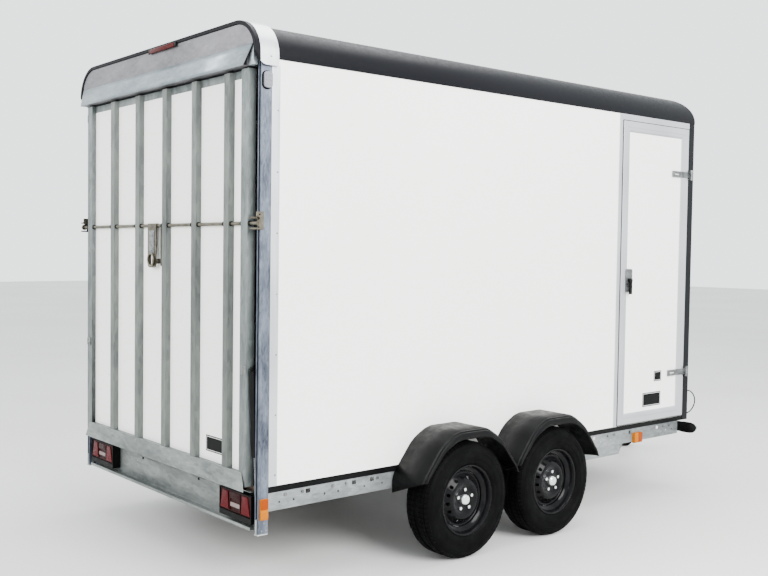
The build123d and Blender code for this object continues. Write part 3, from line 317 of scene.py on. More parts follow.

# ---- Hood over the ramp
# A folded galvanised sheet under the roof's rear rim: an upright upper face, then a
# fold that sheds the rain clear of the ramp's head. A plate closes the corner behind
# its cut end. The fold and that plate wear a lighter copy of the zinc, a painted
# highlight for the light the fold catches, against the darker upright face.
hood_zinc = galvanised("hood_zinc", (0.095, 0.092, 0.100), (0.185, 0.180, 0.195), (0.4, 1, 1))
softened("header_hood", hood_zinc, "chassis", 0.0013, 2, 8)
# Painted highlight: a lighter copy of the hood's zinc for the fold face and the end plate.
highlight_zinc = galvanised("highlight_zinc", (0.15, 0.18, 0.20), (0.29, 0.33, 0.35), (0.4, 1, 1))
# A thin sheet laid over the fold that carries the painted highlight.
fold = bmesh.new()
fold_edge = [(-0.9475, 2.6925, 0.0400), (0.9475, 2.6925, 0.0400), (0.8945, 2.5915, 0.0612),
             (-0.9475, 2.5915, 0.0612)]
fold.faces.new([fold.verts.new((x, rear - back, z)) for x, z, back in fold_edge])
bmesh.ops.subdivide_edges(fold, edges=fold.edges[:], cuts=3, use_grid_fill=True)
piece = closed(fold, "hood_fold_highlight", highlight_zinc)
skin = piece.modifiers.new("skin", "SOLIDIFY")
skin.thickness = 0.0008
skin.offset = 0
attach(piece, "chassis")

bracket = bmesh.new()
end_line = [(0.9010, 2.5930), (0.9465, 2.5930), (0.9465, 2.6850), (0.9300, 2.6850)]
sheet = bracket.faces.new([bracket.verts.new((x, rear - 0.0330, z)) for x, z in end_line])
made = bmesh.ops.extrude_face_region(bracket, geom=[sheet])
bmesh.ops.translate(bracket, vec=(0, 0.026, 0), verts=[
    part for part in made["geom"] if isinstance(part, bmesh.types.BMVert)])
bmesh.ops.bevel(bracket, geom=bracket.edges[:], offset=0.0015, segments=2, affect="EDGES",
                profile=0.5, material=-1)
piece = closed(bracket, "hood_end_bracket", highlight_zinc)
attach(piece, "chassis")

# ---- Roof and corner profiles
# Powder-coated aluminium extrusions: a large quarter-round along each roof edge and
# an angle down each front corner, all in anthracite with a soft sheen.
anthracite = Finish("anthracite_coating", Specular_IOR_Level=0.055)
anthracite.drive("Base Color", anthracite.ramp(
    anthracite.noise(2.2, 3, anthracite.stretched(1, 0.2, 1)), (0.3, (0.0040, 0.0042, 0.0055)),
    (0.7, (0.0060, 0.0062, 0.0078))))
anthracite.drive("Roughness", anthracite.limits(anthracite.noise(40, 3), 0.30, 0.42))
anthracite.relief(anthracite.noise(420, 2), 0.0003, 0.5)
softened("edge_profiles", anthracite, "chassis", 0.001)
softened("rear_rim", anthracite, "chassis", 0.003)

# ---- Rear arch and wall trims
# Satin anodised aluminium: the capping hoop over the rear end of the roof profiles,
# and the flat strips that cover the panel edges at the posts and round the doorway.
satin = Finish("satin_aluminium", Metallic=0.85)
drawn = satin.noise(60, 3, satin.stretched(1, 1, 0.03))
satin.drive("Base Color", satin.ramp(satin.noise(2, 2), (0.3, (0.50, 0.51, 0.53)),
                                     (0.7, (0.60, 0.61, 0.63))))
satin.drive("Roughness", satin.limits(drawn, 0.30, 0.44))
satin.relief(drawn, 0.0003, 0.4)
softened("rear_arch", satin, "chassis", 0.001)
softened("wall_trims", satin, "chassis", 0.0007)


# ---- Door frame
# Four flat aluminium profiles, mitred at the corners, that clamp the leaf, with a black
# rubber seal set proud round them, its dark side a painted shadow line at the frame's edge.
def join_rings(form, rings):
    """Fills the four-sided tube whose section is given as rings of four corners."""
    for inner, outer in zip(rings, rings[1:] + rings[:1]):
        for corner in range(4):
            after = (corner + 1) % 4
            form.faces.new((inner[corner], inner[after], outer[after], outer[corner]))


seal_rubber = Finish("seal_rubber", Roughness=0.7, Specular_IOR_Level=0.04)
seal_rubber.drive("Base Color", seal_rubber.ramp(
    seal_rubber.noise(30, 3), (0.3, (0.0012, 0.0012, 0.0014)), (0.7, (0.004, 0.004, 0.0042))))
leaf_low, leaf_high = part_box("door_frame")
frame_form = bmesh.new()
proud = leaf_high.x
section = [(0.0, leaf_low.x), (0.0, proud - 0.003), (0.0012, proud - 0.0008), (0.003, proud),
           (0.040, proud), (0.0412, proud - 0.0022), (0.0438, proud - 0.0022), (0.045, proud),
           (0.058, proud - 0.0006), (0.070, proud - 0.0045), (0.074, proud - 0.0062),
           (0.074, leaf_low.x)]
rings = []
for inset, x in section:
    hinge_side = inset if inset < 0.041 else inset + 0.016
    rings.append([frame_form.verts.new((x, y, z)) for y, z in (
        (leaf_low.y + inset, leaf_low.z + inset), (leaf_high.y - hinge_side, leaf_low.z + inset),
        (leaf_high.y - hinge_side, leaf_high.z - inset),
        (leaf_low.y + inset, leaf_high.z - inset))])
join_rings(frame_form, rings)
piece = closed(frame_form, "door_frame_profiles", satin, 20)
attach(piece, "door")
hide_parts("door_frame")
# Rubber seal and painted shadow: it stands proud so its black side reads as the line of shade at
# the frame's edge.
seal_shadow_form = bmesh.new()
rings = []
for outset, x in ((0.0002, leaf_low.x), (0.0002, 0.9785), (0.0038, 0.9785), (0.0038, leaf_low.x)):
    rings.append([seal_shadow_form.verts.new((x, y, z)) for y, z in (
        (leaf_low.y - outset, leaf_low.z - outset), (leaf_high.y + outset, leaf_low.z - outset),
        (leaf_high.y + outset, leaf_high.z + outset), (leaf_low.y - outset, leaf_high.z + outset))])
join_rings(seal_shadow_form, rings)
door_seal_shadow_line = closed(seal_shadow_form, "door_seal_shadow_line", seal_rubber)
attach(door_seal_shadow_line, "door")

# ---- Hinges, keepers and lock rod
# Zinc-plated and yellow-passivated steel: the door's hinge straps and pins, the ramp's
# hinge lugs, the rod across the ramp with its cams, and the keepers on the posts.
plated = Finish("passivated_zinc", Metallic=0.8)
plated.drive("Base Color", plated.ramp(plated.noise(18, 5), (0.3, (0.045, 0.038, 0.025)),
                                       (0.55, (0.12, 0.108, 0.080)), (0.75, (0.22, 0.205, 0.165))))
plated.drive("Roughness", plated.limits(plated.noise(50, 4), 0.26, 0.5))
plated.relief(plated.noise(120, 3), 0.0004, 0.5)
bright = Finish("bright_zinc", Metallic=0.9)
bright.drive("Base Color", bright.ramp(bright.noise(25, 4), (0.3, (0.09, 0.092, 0.095)),
                                       (0.7, (0.24, 0.245, 0.25))))
bright.drive("Roughness", bright.limits(bright.noise(60, 3), 0.2, 0.42))
softened("hinge_lugs", bright, "chassis", 0.0012)
softened("latch_keepers", plated, "chassis", 0.0012)
softened("lock_rod", plated, "lock", 0.0012)
softened("door_straps", bright, "door", 0.0012)
softened("chassis_bolts", bright, "chassis", 0.001)
softened("draw_tube", bright, "coupling", 0.001)
softened("nose_inner_tube", bright, "nose_leg", 0.001)
softened("nose_crank", bright, "nose_winder", 0.001)
softened("strut_rods", bright, "strut_rod", 0.0008)

# ---- Black steel parts
# Gas strut tubes, door lever, coupling and brake handles in satin black paint, and the
# cast housing and coupling head in a rougher one.
satin_black = Finish("satin_black_paint", Specular_IOR_Level=0.12)
satin_black.drive("Base Color", satin_black.ramp(
    satin_black.noise(12, 4), (0.3, (0.0012, 0.0012, 0.0014)), (0.7, (0.003, 0.003, 0.0032))))
satin_black.drive("Roughness", satin_black.limits(satin_black.noise(45, 3), 0.28, 0.46))
softened("strut_cylinders", satin_black, "strut_cylinder", 0.0012)
softened("door_lever", satin_black, "door_handle", 0.004, 3)
softened("coupling_handle", satin_black, "coupling_grip", 0.002)
softened("handbrake_lever", satin_black, "handbrake", 0.002)
cast = Finish("cast_paint", Specular_IOR_Level=0.15)
cast.drive("Base Color", cast.ramp(cast.noise(15, 5), (0.3, (0.012, 0.0125, 0.014)),
                                   (0.7, (0.028, 0.029, 0.032))))
cast.drive("Roughness", cast.limits(cast.noise(60, 4), 0.45, 0.7))
cast.relief(cast.noise(180, 4), 0.0012, 0.8)
softened("overrun_housing", cast, "chassis", 0.002)
softened("coupling_head", cast, "coupling", 0.002)

# ---- Mudguards
# Vacuum-formed black plastic arches with a twice-stepped, rolled outer lip and a fine
# matt grain.
moulded = Finish("grained_black_plastic", Specular_IOR_Level=0.07)
moulded.drive("Base Color", moulded.ramp(moulded.noise(5, 4), (0.3, (0.0014, 0.0014, 0.0016)),
                                         (0.7, (0.0035, 0.0035, 0.0037))))
moulded.drive("Roughness", moulded.limits(moulded.noise(30, 4), 0.34, 0.52))
moulded.relief(moulded.noise(700, 2), 0.0004, 0.6)
panel_face = 0.971
sides = (("left", -1), ("right", 1))
axles = (("rear", rear + 1.256), ("front", rear + 2.013))
guard_width, rear_end, front_end = 0.240, 0.375, 0.404
guard_line = [(-0.362, 0.375), (-0.362, 0.472), (-0.215, 0.655), (-0.100, 0.717), (0.150, 0.717),
              (0.274, 0.640), (0.416, 0.456), (0.425, 0.404)]
guard_steps = [(0.208, 1, 1), (0.212, 0.990, 0.988), (0.224, 0.987, 0.985), (0.228, 0.968, 0.964),
               (0.237, 0.966, 0.961), (0.240, 0.960, 0.952), (0.240, 0.950, 0.870),
               (0.237, 0.947, 0.862)]
for axle, hub_y in axles:
    for side, sign in sides:
        shell = bmesh.new()
        bend = [shell.verts.new((panel_face, hub_y + y, z)) for y, z in guard_line]
        for pair in zip(bend, bend[1:]):
            shell.edges.new(pair)
        bmesh.ops.bevel(shell, geom=bend[1:-1], offset=0.042, segments=6, affect="VERTICES",
                        profile=0.5, material=-1, clamp_overlap=True)
        arch_middle = Matrix.Translation((0, -hub_y - 0.04, -0.38))
        line, reach, tall, wide = shell.edges[:], 0.0, 1.0, 1.0
        for out, next_wide, next_tall in guard_steps:
            made = bmesh.ops.extrude_edge_only(shell, edges=line)["geom"]
            verts = [part for part in made if isinstance(part, bmesh.types.BMVert)]
            fresh = set(verts)
            line = [part for part in made if isinstance(part, bmesh.types.BMEdge)
                    and part.verts[0] in fresh and part.verts[1] in fresh]
            bmesh.ops.translate(shell, vec=(out - reach, 0, 0), verts=verts)
            bmesh.ops.scale(shell, vec=(1, next_wide / wide, next_tall / tall), space=arch_middle,
                            verts=verts)
            reach, wide, tall = out, next_wide, next_tall
        for vert in shell.verts:
            outward = (vert.co.x - panel_face) / guard_width
            if vert.co.y < hub_y:
                vert.co.z = max(vert.co.z, rear_end + 0.095 * outward)
            else:
                vert.co.z = max(vert.co.z, front_end + 0.030 * outward)
        bmesh.ops.scale(shell, vec=(sign, 1, 1), verts=shell.verts)
        piece = closed(shell, f"guard_{axle}_{side}", moulded, 50)
        wall = piece.modifiers.new("wall", "SOLIDIFY")
        wall.thickness = 0.004
        wall.offset = 0
        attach(piece, "chassis")
        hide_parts("mudguards")
softened("tail_lamp_housings", moulded, "chassis", 0.0015)

# ---- Wheels
# A radial tyre with blocks between its grooves and rings on its sidewall, on a pressed
# steel rim in gloss black, with a disc of sixteen windows, five nuts and a bright cap.
rubber = Finish("tyre_rubber", Specular_IOR_Level=0.03)
rubber.drive("Base Color", rubber.ramp(rubber.noise(9, 5), (0.3, (0.0008, 0.0008, 0.0009)),
                                       (0.75, (0.0026, 0.0026, 0.0027))))
rubber.drive("Roughness", rubber.limits(rubber.noise(28, 4), 0.52, 0.72))
rubber.relief(rubber.noise(260, 3), 0.0006, 0.5)
gloss = Finish("gloss_black_enamel", Roughness=0.14, Specular_IOR_Level=0.075)
gloss.drive("Base Color", gloss.ramp(gloss.noise(20, 4), (0.3, (0.002, 0.002, 0.0025)),
                                     (0.7, (0.005, 0.005, 0.0055))))
gloss.relief(gloss.noise(60, 2), 0.0006, 0.5)
drum_iron = Finish("drum_iron", Metallic=0.5, Roughness=0.6)
drum_iron.drive("Base Color", drum_iron.ramp(drum_iron.noise(30, 4), (0.3, (0.006, 0.006, 0.006)),
                                             (0.7, (0.02, 0.019, 0.018))))
chrome = Finish("chromed_steel", Metallic=1.0)
chrome.drive("Base Color", chrome.ramp(chrome.noise(40, 3), (0.3, (0.70, 0.71, 0.72)),
                                       (0.7, (0.86, 0.87, 0.88))))
chrome.drive("Roughness", chrome.limits(chrome.noise(70, 3), 0.08, 0.2))


def lathe(outline, steps, closed_loop):
    """Spins (offset along the axle, radius) points round the X axis."""
    form = bmesh.new()
    rim_line = [form.verts.new((offset, 0, radius)) for offset, radius in outline]
    pairs = list(zip(rim_line, rim_line[1:]))
    if closed_loop:
        pairs.append((rim_line[-1], rim_line[0]))
    lines = [form.edges.new(pair) for pair in pairs]
    bmesh.ops.spin(form, geom=rim_line + lines, cent=(0, 0, 0), axis=(1, 0, 0), angle=2 * pi,
                   steps=steps, use_merge=True, use_duplicate=False)
    bmesh.ops.remove_doubles(form, verts=form.verts, dist=0.00002)
    bmesh.ops.recalc_face_normals(form, faces=form.faces)
    return form


def radius_of(face):
    middle = face.calc_center_median()
    return (middle.y ** 2 + middle.z ** 2) ** 0.5


wheel_out, tread_radius = 1.112, 0.325
tread_base = tread_radius - 0.0068
half_section = [(0.000, tread_base), (0.013, tread_base), (0.0135, tread_base), (0.037, tread_base),
                (0.0375, tread_base), (0.060, tread_base), (0.0605, tread_base - 0.0004),
                (0.078, tread_base - 0.012), (0.086, 0.297), (0.0885, 0.290), (0.0905, 0.289),
                (0.0925, 0.276), (0.0935, 0.275), (0.0935, 0.268), (0.0925, 0.267),
                (0.094, 0.250), (0.0937, 0.236), (0.0925, 0.235), (0.0925, 0.232),
                (0.0915, 0.231), (0.089, 0.214), (0.085, 0.206), (0.079, 0.2015), (0.070, 0.1865)]
tyre_line = half_section + [(-x, r) for x, r in reversed(half_section[1:])]
rim_line_points = [(0.0755, 0.196), (0.0785, 0.1975), (0.0805, 0.196), (0.0800, 0.188),
                   (0.0745, 0.183), (0.060, 0.1805), (0.054, 0.178), (0.047, 0.161),
                   (0.040, 0.1545), (0.010, 0.1545), (-0.010, 0.1545), (-0.052, 0.178),
                   (-0.068, 0.181), (-0.0800, 0.188), (-0.0805, 0.196), (-0.0785, 0.1975),
                   (-0.0755, 0.196), (-0.0735, 0.1858), (-0.054, 0.184), (-0.010, 0.158),
                   (0.040, 0.158), (0.056, 0.184), (0.0735, 0.1858)]
disc_line = [(0.046, 0.031), (0.0445, 0.036), (0.0440, 0.050), (0.0445, 0.066), (0.049, 0.074),
             (0.054, 0.084), (0.0555, 0.094), (0.0550, 0.104), (0.0515, 0.110), (0.0340, 0.129),
             (0.0275, 0.136), (0.0235, 0.145), (0.0260, 0.152), (0.0300, 0.1545)]
for axle, hub_y in axles:
    for side, sign in sides:
        seat = Matrix.Translation((sign * wheel_out, hub_y, tread_radius))
        seat = seat @ Matrix.Diagonal((sign, 1, 1, 1))
        name = f"{axle}_{side}"

        tyre = lathe(tyre_line, 72, True)
        blocks = [face for face in tyre.faces
                  if radius_of(face) > tread_base - 0.008 and face.calc_area() > 0.0004]
        bmesh.ops.inset_individual(tyre, faces=blocks, thickness=0.0016, depth=0.0065,
                                   use_even_offset=True)
        outermost = max((v.co.y ** 2 + v.co.z ** 2) ** 0.5 for v in tyre.verts)
        trim_to = tread_radius / outermost
        bmesh.ops.scale(tyre, vec=(1, trim_to, trim_to), verts=tyre.verts)
        bmesh.ops.transform(tyre, matrix=seat, verts=tyre.verts)
        piece = closed(tyre, "tyre_" + name + "_treaded", rubber, 28)
        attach(piece, "wheel_" + name)
        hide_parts("tyre_" + name)

        barrel = lathe(rim_line_points, 72, True)
        bmesh.ops.transform(barrel, matrix=seat, verts=barrel.verts)
        piece = closed(barrel, "rim_" + name + "_barrel", gloss, 40)
        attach(piece, "wheel_" + name)
        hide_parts("rim_" + name)

        disc = lathe(disc_line, 64, False)
        band = [face for face in disc.faces if 0.112 < radius_of(face) < 0.127]
        band.sort(key=lambda face: Vector((face.calc_center_median().y,
                                           face.calc_center_median().z)).angle_signed((0, 1)))
        windows = [band[index + step] for index in range(0, 64, 4) for step in (0, 1)]
        bmesh.ops.inset_region(disc, faces=windows, thickness=0.0022, use_even_offset=True)
        bmesh.ops.delete(disc, geom=windows, context="FACES")
        bmesh.ops.transform(disc, matrix=seat, verts=disc.verts)
        piece = closed(disc, "rim_" + name + "_disc", gloss, 60)
        wall = piece.modifiers.new("sheet", "SOLIDIFY")
        wall.thickness = 0.0035
        wall.offset = -1 if sign > 0 else 1
        smooth = piece.modifiers.new("pressing", "SUBSURF")
        smooth.levels = smooth.render_levels = 1
        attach(piece, "wheel_" + name)

        drum = lathe([(-0.047, 0.020), (-0.047, 0.118), (-0.040, 0.125), (0.000, 0.125),
                      (0.004, 0.120), (0.004, 0.074), (0.036, 0.070), (0.036, 0.020)], 48, True)
        bmesh.ops.transform(drum, matrix=seat, verts=drum.verts)
        piece = closed(drum, "drum_" + name, drum_iron)
        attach(piece, "wheel_" + name)

        cap = lathe([(0.036, 0.0305), (0.064, 0.0305), (0.067, 0.0285), (0.0715, 0.024),
                     (0.0730, 0.014), (0.0730, 0.0004)], 32, False)
        for index in range(5):
            angle = 2 * pi * index / 5
            nut_seat = (Matrix.Translation((0.0530, 0.056 * sin(angle), 0.056 * cos(angle)))
                        @ Matrix.Rotation(pi / 2, 4, "Y"))
            bmesh.ops.create_cone(cap, cap_ends=True, segments=6, radius1=0.0115, radius2=0.0095,
                                  depth=0.018, matrix=nut_seat)
        bmesh.ops.transform(cap, matrix=seat, verts=cap.verts)
        piece = closed(cap, "nuts_" + name, chrome)
        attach(piece, "wheel_" + name)


# ---- Tail lamps
# Each is a red moulded lens in a black tray: a triangular reflector at both ends and a
# clear reversing bar in the middle, above it the ribbed tail and brake field.
def lens(name, shade, rib_scale, roughness=0.12):
    """Clear-coated coloured plastic with moulded ribs behind its face."""
    plastic = Finish(name, Specular_IOR_Level=0.07, Coat_Weight=0.02, Coat_Roughness=0.05)
    ribs = plastic.node("ShaderNodeTexWave", {"bands_direction": "DIAGONAL"},
                        {"Vector": plastic.seat, "Scale": rib_scale, "Distortion": 0.6})
    darker = tuple(0.55 * part for part in shade)
    plastic.drive("Base Color", plastic.ramp(ribs, (0.15, darker), (0.8, shade)))
    plastic.drive("Roughness", plastic.limits(ribs, roughness, roughness + 0.15, 0.0, 1.0))
    plastic.relief(ribs, 0.0008, 0.5)
    return plastic


def block(form, low, high, rounding=0.0, segments=2, only_along=None):
    """Adds a box between two corners, with its edges rounded."""
    middle = (Vector(low) + Vector(high)) / 2
    span = Vector(high) - Vector(low)
    made = bmesh.ops.create_cube(form, size=1.0, matrix=Matrix.Translation(middle)
                                 @ Matrix.Diagonal((*span, 1)))
    if rounding:
        edges = {edge for vert in made["verts"] for edge in vert.link_edges}
        if only_along is not None:
            edges = {edge for edge in edges
                     if abs((edge.verts[0].co - edge.verts[1].co)[only_along]) > 1e-6}
        bmesh.ops.bevel(form, geom=list(edges), offset=rounding, segments=segments,
                        affect="EDGES", profile=0.5, material=-1, clamp_overlap=True)
    return made["verts"]


def wedge(form, outline, y_face, thickness):
    """Adds a plate whose outline is (x, z) points, raised towards the rear."""
    face = form.faces.new([form.verts.new((x, y_face, z)) for x, z in outline])
    made = bmesh.ops.extrude_face_region(form, geom=[face])
    top = [part for part in made["geom"] if isinstance(part, bmesh.types.BMVert)]
    bmesh.ops.translate(form, vec=(0, -thickness, 0), verts=top)


red_dark = lens("tail_lens_red", (0.020, 0.0006, 0.0009), 110)
red_field = lens("reflector_red", (0.085, 0.003, 0.006), 190)
clear_field = lens("reversing_clear", (0.26, 0.20, 0.19), 150)
lens_low_z, lens_high_z = 0.3575, 0.4665
for side, middle in (("left", -0.760), ("right", 0.760)):
    base = bmesh.new()
    block(base, (middle - 0.141, rear + 0.0055, lens_low_z),
          (middle + 0.141, rear + 0.0135, lens_high_z), 0.003)
    for edge_x in (-0.0475, 0.0475):
        block(base, (middle + edge_x - 0.0025, rear + 0.002, lens_low_z + 0.006),
              (middle + edge_x + 0.0025, rear + 0.0065, lens_high_z - 0.006), 0.001)
    block(base, (middle - 0.045, rear + 0.0015, 0.425), (middle + 0.045, rear + 0.0065, 0.460),
          0.003)
    piece = closed(base, "tail_lens_" + side, red_dark)
    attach(piece, "chassis")
    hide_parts("red_lenses")
    fields = bmesh.new()
    for end in (-1, 1):
        outline = [(middle + end * 0.058, 0.366), (middle + end * 0.136, 0.366),
                   (middle + end * 0.112, 0.459), (middle + end * 0.066, 0.459)]
        if end < 0:
            outline.reverse()
        wedge(fields, outline, rear + 0.0056, 0.0050)
    bmesh.ops.bevel(fields, geom=fields.edges[:], offset=0.0012, segments=2, affect="EDGES",
                    profile=0.5, material=-1)
    piece = closed(fields, "tail_reflectors_" + side, red_field)
    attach(piece, "chassis")
    clear = bmesh.new()
    block(clear, (middle - 0.042, rear + 0.0015, 0.386), (middle + 0.042, rear + 0.0065, 0.408),
          0.004)
    piece = closed(clear, "tail_clear_" + side, clear_field)
    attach(piece, "chassis")

# ---- High-level lamp
# A slim red lamp bar clipped to the rim above the hood, with a dark foot strip.
rim_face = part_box("rear_rim")[0].y
lamp_top, lamp_x = 2.814, 0.080
lamp_form = bmesh.new()
block(lamp_form, (lamp_x - 0.135, rim_face - 0.0115, lamp_top - 0.027),
      (lamp_x + 0.135, rim_face + 0.0002, lamp_top - 0.002), 0.004, 3)
lamp_red = lens("high_lamp_red", (0.062, 0.0005, 0.0005), 60)
high_lamp = closed(lamp_form, "high_lamp", lamp_red)
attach(high_lamp, "chassis")
lamp_feet = bmesh.new()
for end in (-1, 1):
    inner, outer = sorted((lamp_x + end * 0.134, lamp_x + end * 0.152))
    block(lamp_feet, (inner, rim_face - 0.0095, lamp_top - 0.028),
          (outer, rim_face + 0.0002, lamp_top), 0.004, 3)
piece = closed(lamp_feet, "high_lamp_feet", satin_black)
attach(piece, "chassis")

# ---- Amber side markers
# Two-part amber lamps: a deep orange reflector over a lighter lit field, in one base
# with rounded corners, screwed to each post and each rail.
amber_deep = lens("amber_reflector", (0.30, 0.046, 0.0), 180)
amber_light = lens("amber_lit_field", (0.45, 0.132, 0.0), 120)
for side, sign in sides:
    for place, x0, depth, y0, y1, z0, z1 in (
            ("post", panel_face, 0.009, rear + 0.008, rear + 0.058, 0.364, 0.469),
            ("rail", 0.965, 0.022, rear + 3.137, rear + 3.229, 0.391, 0.462)):
        base = bmesh.new()
        lower, upper = sorted((sign * x0, sign * (x0 + depth * 0.6)))
        block(base, (lower, y0, z0), (upper, y1, z1), 0.006, 3, 0)
        piece = closed(base, f"marker_{place}_{side}_base", amber_light)
        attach(piece, "chassis")
        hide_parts("amber_markers")
        tall = z1 - z0 > y1 - y0
        halves = (((y0 + 0.002, y1 - 0.002, z0 + 0.002, (z0 + z1) / 2 - 0.001),
                   (y0 + 0.002, y1 - 0.002, (z0 + z1) / 2 + 0.001, z1 - 0.002)) if tall else
                  ((y0 + 0.002, (y0 + y1) / 2 - 0.001, z0 + 0.002, z1 - 0.002),
                   ((y0 + y1) / 2 + 0.001, y1 - 0.002, z0 + 0.002, z1 - 0.002)))
        for word, finish, (a0, a1, b0, b1) in zip(("lit", "reflex"), (amber_light, amber_deep),
                                                  halves):
            form = bmesh.new()
            lower, upper = sorted((sign * (x0 + depth * 0.5), sign * (x0 + depth)))
            block(form, (lower, a0, b0), (upper, a1, b1), 0.0035, 3)
            piece = closed(form, f"marker_{place}_{side}_{word}", finish)
            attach(piece, "chassis")

# ---- Clear post lamps
# Front-facing position lamps near the top of the posts: a faceted clear lens with
# round corners on a black rubber gasket.
facet = lens("faceted_clear_lens", (0.24, 0.25, 0.27), 90, 0.08)
for side, sign in sides:
    gasket = bmesh.new()
    lower, upper = sorted((sign * panel_face, sign * 0.9775))
    block(gasket, (lower, rear + 0.001, 2.4765), (upper, rear + 0.059, 2.5655), 0.026, 6, 0)
    piece = closed(gasket, "post_lamp_gasket_" + side, seal_rubber)
    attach(piece, "chassis")
    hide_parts("clear_lamps")
    glassy = bmesh.new()
    lower, upper = sorted((sign * 0.9774, sign * 0.9875))
    block(glassy, (lower, rear + 0.007, 2.483), (upper, rear + 0.055, 2.561), 0.016, 5, 0)
    for row in range(3):
        for column in range(2):
            y = rear + 0.019 + 0.024 * column
            z = 2.500 + 0.022 * row
            bmesh.ops.create_uvsphere(glassy, u_segments=10, v_segments=6, radius=0.0095,
                                      matrix=Matrix.Translation((sign * 0.9815, y, z)))
    piece = closed(glassy, "post_lamp_lens_" + side, facet)
    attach(piece, "chassis")

# ---- Outline lamps
# Black rubber arms on the front ends of the rails, each with a small clear lens to the
# front and a row of moulded ribs round its neck.
front = 1.264  # y of the outer face of the front wall
lamp_row = front - 0.062
softened("outline_lamps", seal_rubber, "chassis", 0.002)
for side, sign in sides:
    ribs = bmesh.new()
    for index in range(5):
        rib_seat = (Matrix.Translation((sign * (0.984 + 0.013 * index), lamp_row, 0.445))
                    @ Matrix.Rotation(pi / 2, 4, "Y"))
        bmesh.ops.create_cone(ribs, cap_ends=True, segments=28, radius1=0.0385, radius2=0.0385,
                              depth=0.005, matrix=rib_seat)
    piece = closed(ribs, "outline_lamp_ribs_" + side, seal_rubber)
    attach(piece, "chassis")
    window = bmesh.new()
    lower, upper = sorted((sign * 1.050, sign * 1.072))
    block(window, (lower, lamp_row + 0.022, 0.432), (upper, lamp_row + 0.037, 0.458), 0.004, 3)
    piece = closed(window, "outline_lamp_window_" + side, facet)
    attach(piece, "chassis")

# ---- Rubber sleeve
# The pleated bellows that keeps dirt off the draw tube, moulded in black rubber with
# nine folds and a plain cuff at both ends.
sleeve_low, sleeve_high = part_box("bellows")
folds, tube_height = 9, 0.445
pleats = []
run = sleeve_high.y - sleeve_low.y
for index in range(folds * 2 + 1):
    along = sleeve_low.y + run * index / (folds * 2)
    pleats.append((along, 0.0435 if index % 2 else 0.0325))
sleeve = bmesh.new()
sleeve_line = [sleeve.verts.new((0, along, radius)) for along, radius in pleats]
sleeve_line += [sleeve.verts.new((0, along, radius - 0.003)) for along, radius in reversed(pleats)]
for pair in zip(sleeve_line, sleeve_line[1:] + sleeve_line[:1]):
    sleeve.edges.new(pair)
bmesh.ops.bevel(sleeve, geom=sleeve_line, offset=0.0025, segments=3, affect="VERTICES",
                profile=0.5, material=-1)
bmesh.ops.spin(sleeve, geom=sleeve.verts[:] + sleeve.edges[:], cent=(0, 0, 0), axis=(0, 1, 0),
               angle=2 * pi, steps=40, use_merge=True, use_duplicate=False)
bmesh.ops.remove_doubles(sleeve, verts=sleeve.verts, dist=0.00002)
bmesh.ops.translate(sleeve, vec=(0, 0, tube_height), verts=sleeve.verts)
sleeve_piece = closed(sleeve, "rubber_sleeve", seal_rubber, 50)
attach(sleeve_piece, "chassis")
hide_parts("bellows")

# ---- Nose wheel
# A solid rubber tyre on a grey plastic wheel with a deep dish on both sides.
nose_low, nose_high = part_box("nose_wheel")
nose_middle = (nose_low + nose_high) / 2
dish = Finish("grey_nylon", Roughness=0.5)
dish.drive("Base Color", dish.ramp(dish.noise(20, 3), (0.3, (0.20, 0.21, 0.22)),
                                   (0.7, (0.27, 0.28, 0.29))))
nose_half = [(0.030, 0.080), (0.030, 0.092), (0.027, 0.099), (0.020, 0.104), (0.010, 0.105)]
for word, outline, finish, slot in (
        ("tyre", nose_half + [(-x, r) for x, r in reversed(nose_half)]
         + [(-0.024, 0.070), (0.024, 0.070)], rubber, "black_rubber"),
        ("hub", [(0.026, 0.0705), (0.026, 0.062), (0.010, 0.058), (0.009, 0.030), (0.030, 0.022),
                 (0.030, 0.009), (-0.030, 0.009), (-0.030, 0.022), (-0.009, 0.030),
                 (-0.010, 0.058), (-0.026, 0.062), (-0.026, 0.0705)], dish, "black_rubber")):
    form = lathe(outline, 48, True)
    bmesh.ops.translate(form, vec=nose_middle, verts=form.verts)
    piece = closed(form, "nose_wheel_" + word, finish)
    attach(piece, "nose_roller")
    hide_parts("nose_wheel")

# ---- Breakaway cable
# A thin black cable that leaves a gland on the front wall, hangs out in one open
# loop and goes back in at a second gland below it.
cable_points = [
    (0.918, front + 0.026, 0.690), (0.918, front + 0.062, 0.690), (0.922, front + 0.112, 0.688),
    (0.926, front + 0.158, 0.660), (0.928, front + 0.184, 0.612), (0.926, front + 0.166, 0.562),
    (0.922, front + 0.122, 0.528), (0.918, front + 0.070, 0.517), (0.918, front + 0.026, 0.517)]
cable_curve = bpy.data.curves.new("front_cable", "CURVE")
cable_curve.dimensions = "3D"
cable_curve.bevel_depth = 0.004
cable_curve.bevel_resolution = 4
cable_curve.resolution_u = 10
cable_line = cable_curve.splines.new("NURBS")
cable_line.points.add(len(cable_points) - 1)
for point, place in zip(cable_line.points, cable_points):
    point.co = (*place, 1)
cable_line.order_u = 3
cable_line.use_endpoint_u = True
front_cable = bpy.data.objects.new("front_cable", cable_curve)
cable_curve.materials.append(rubber.material)
bpy.context.scene.collection.objects.link(front_cable)
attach(front_cable, "chassis")
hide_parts("trailer_cable")

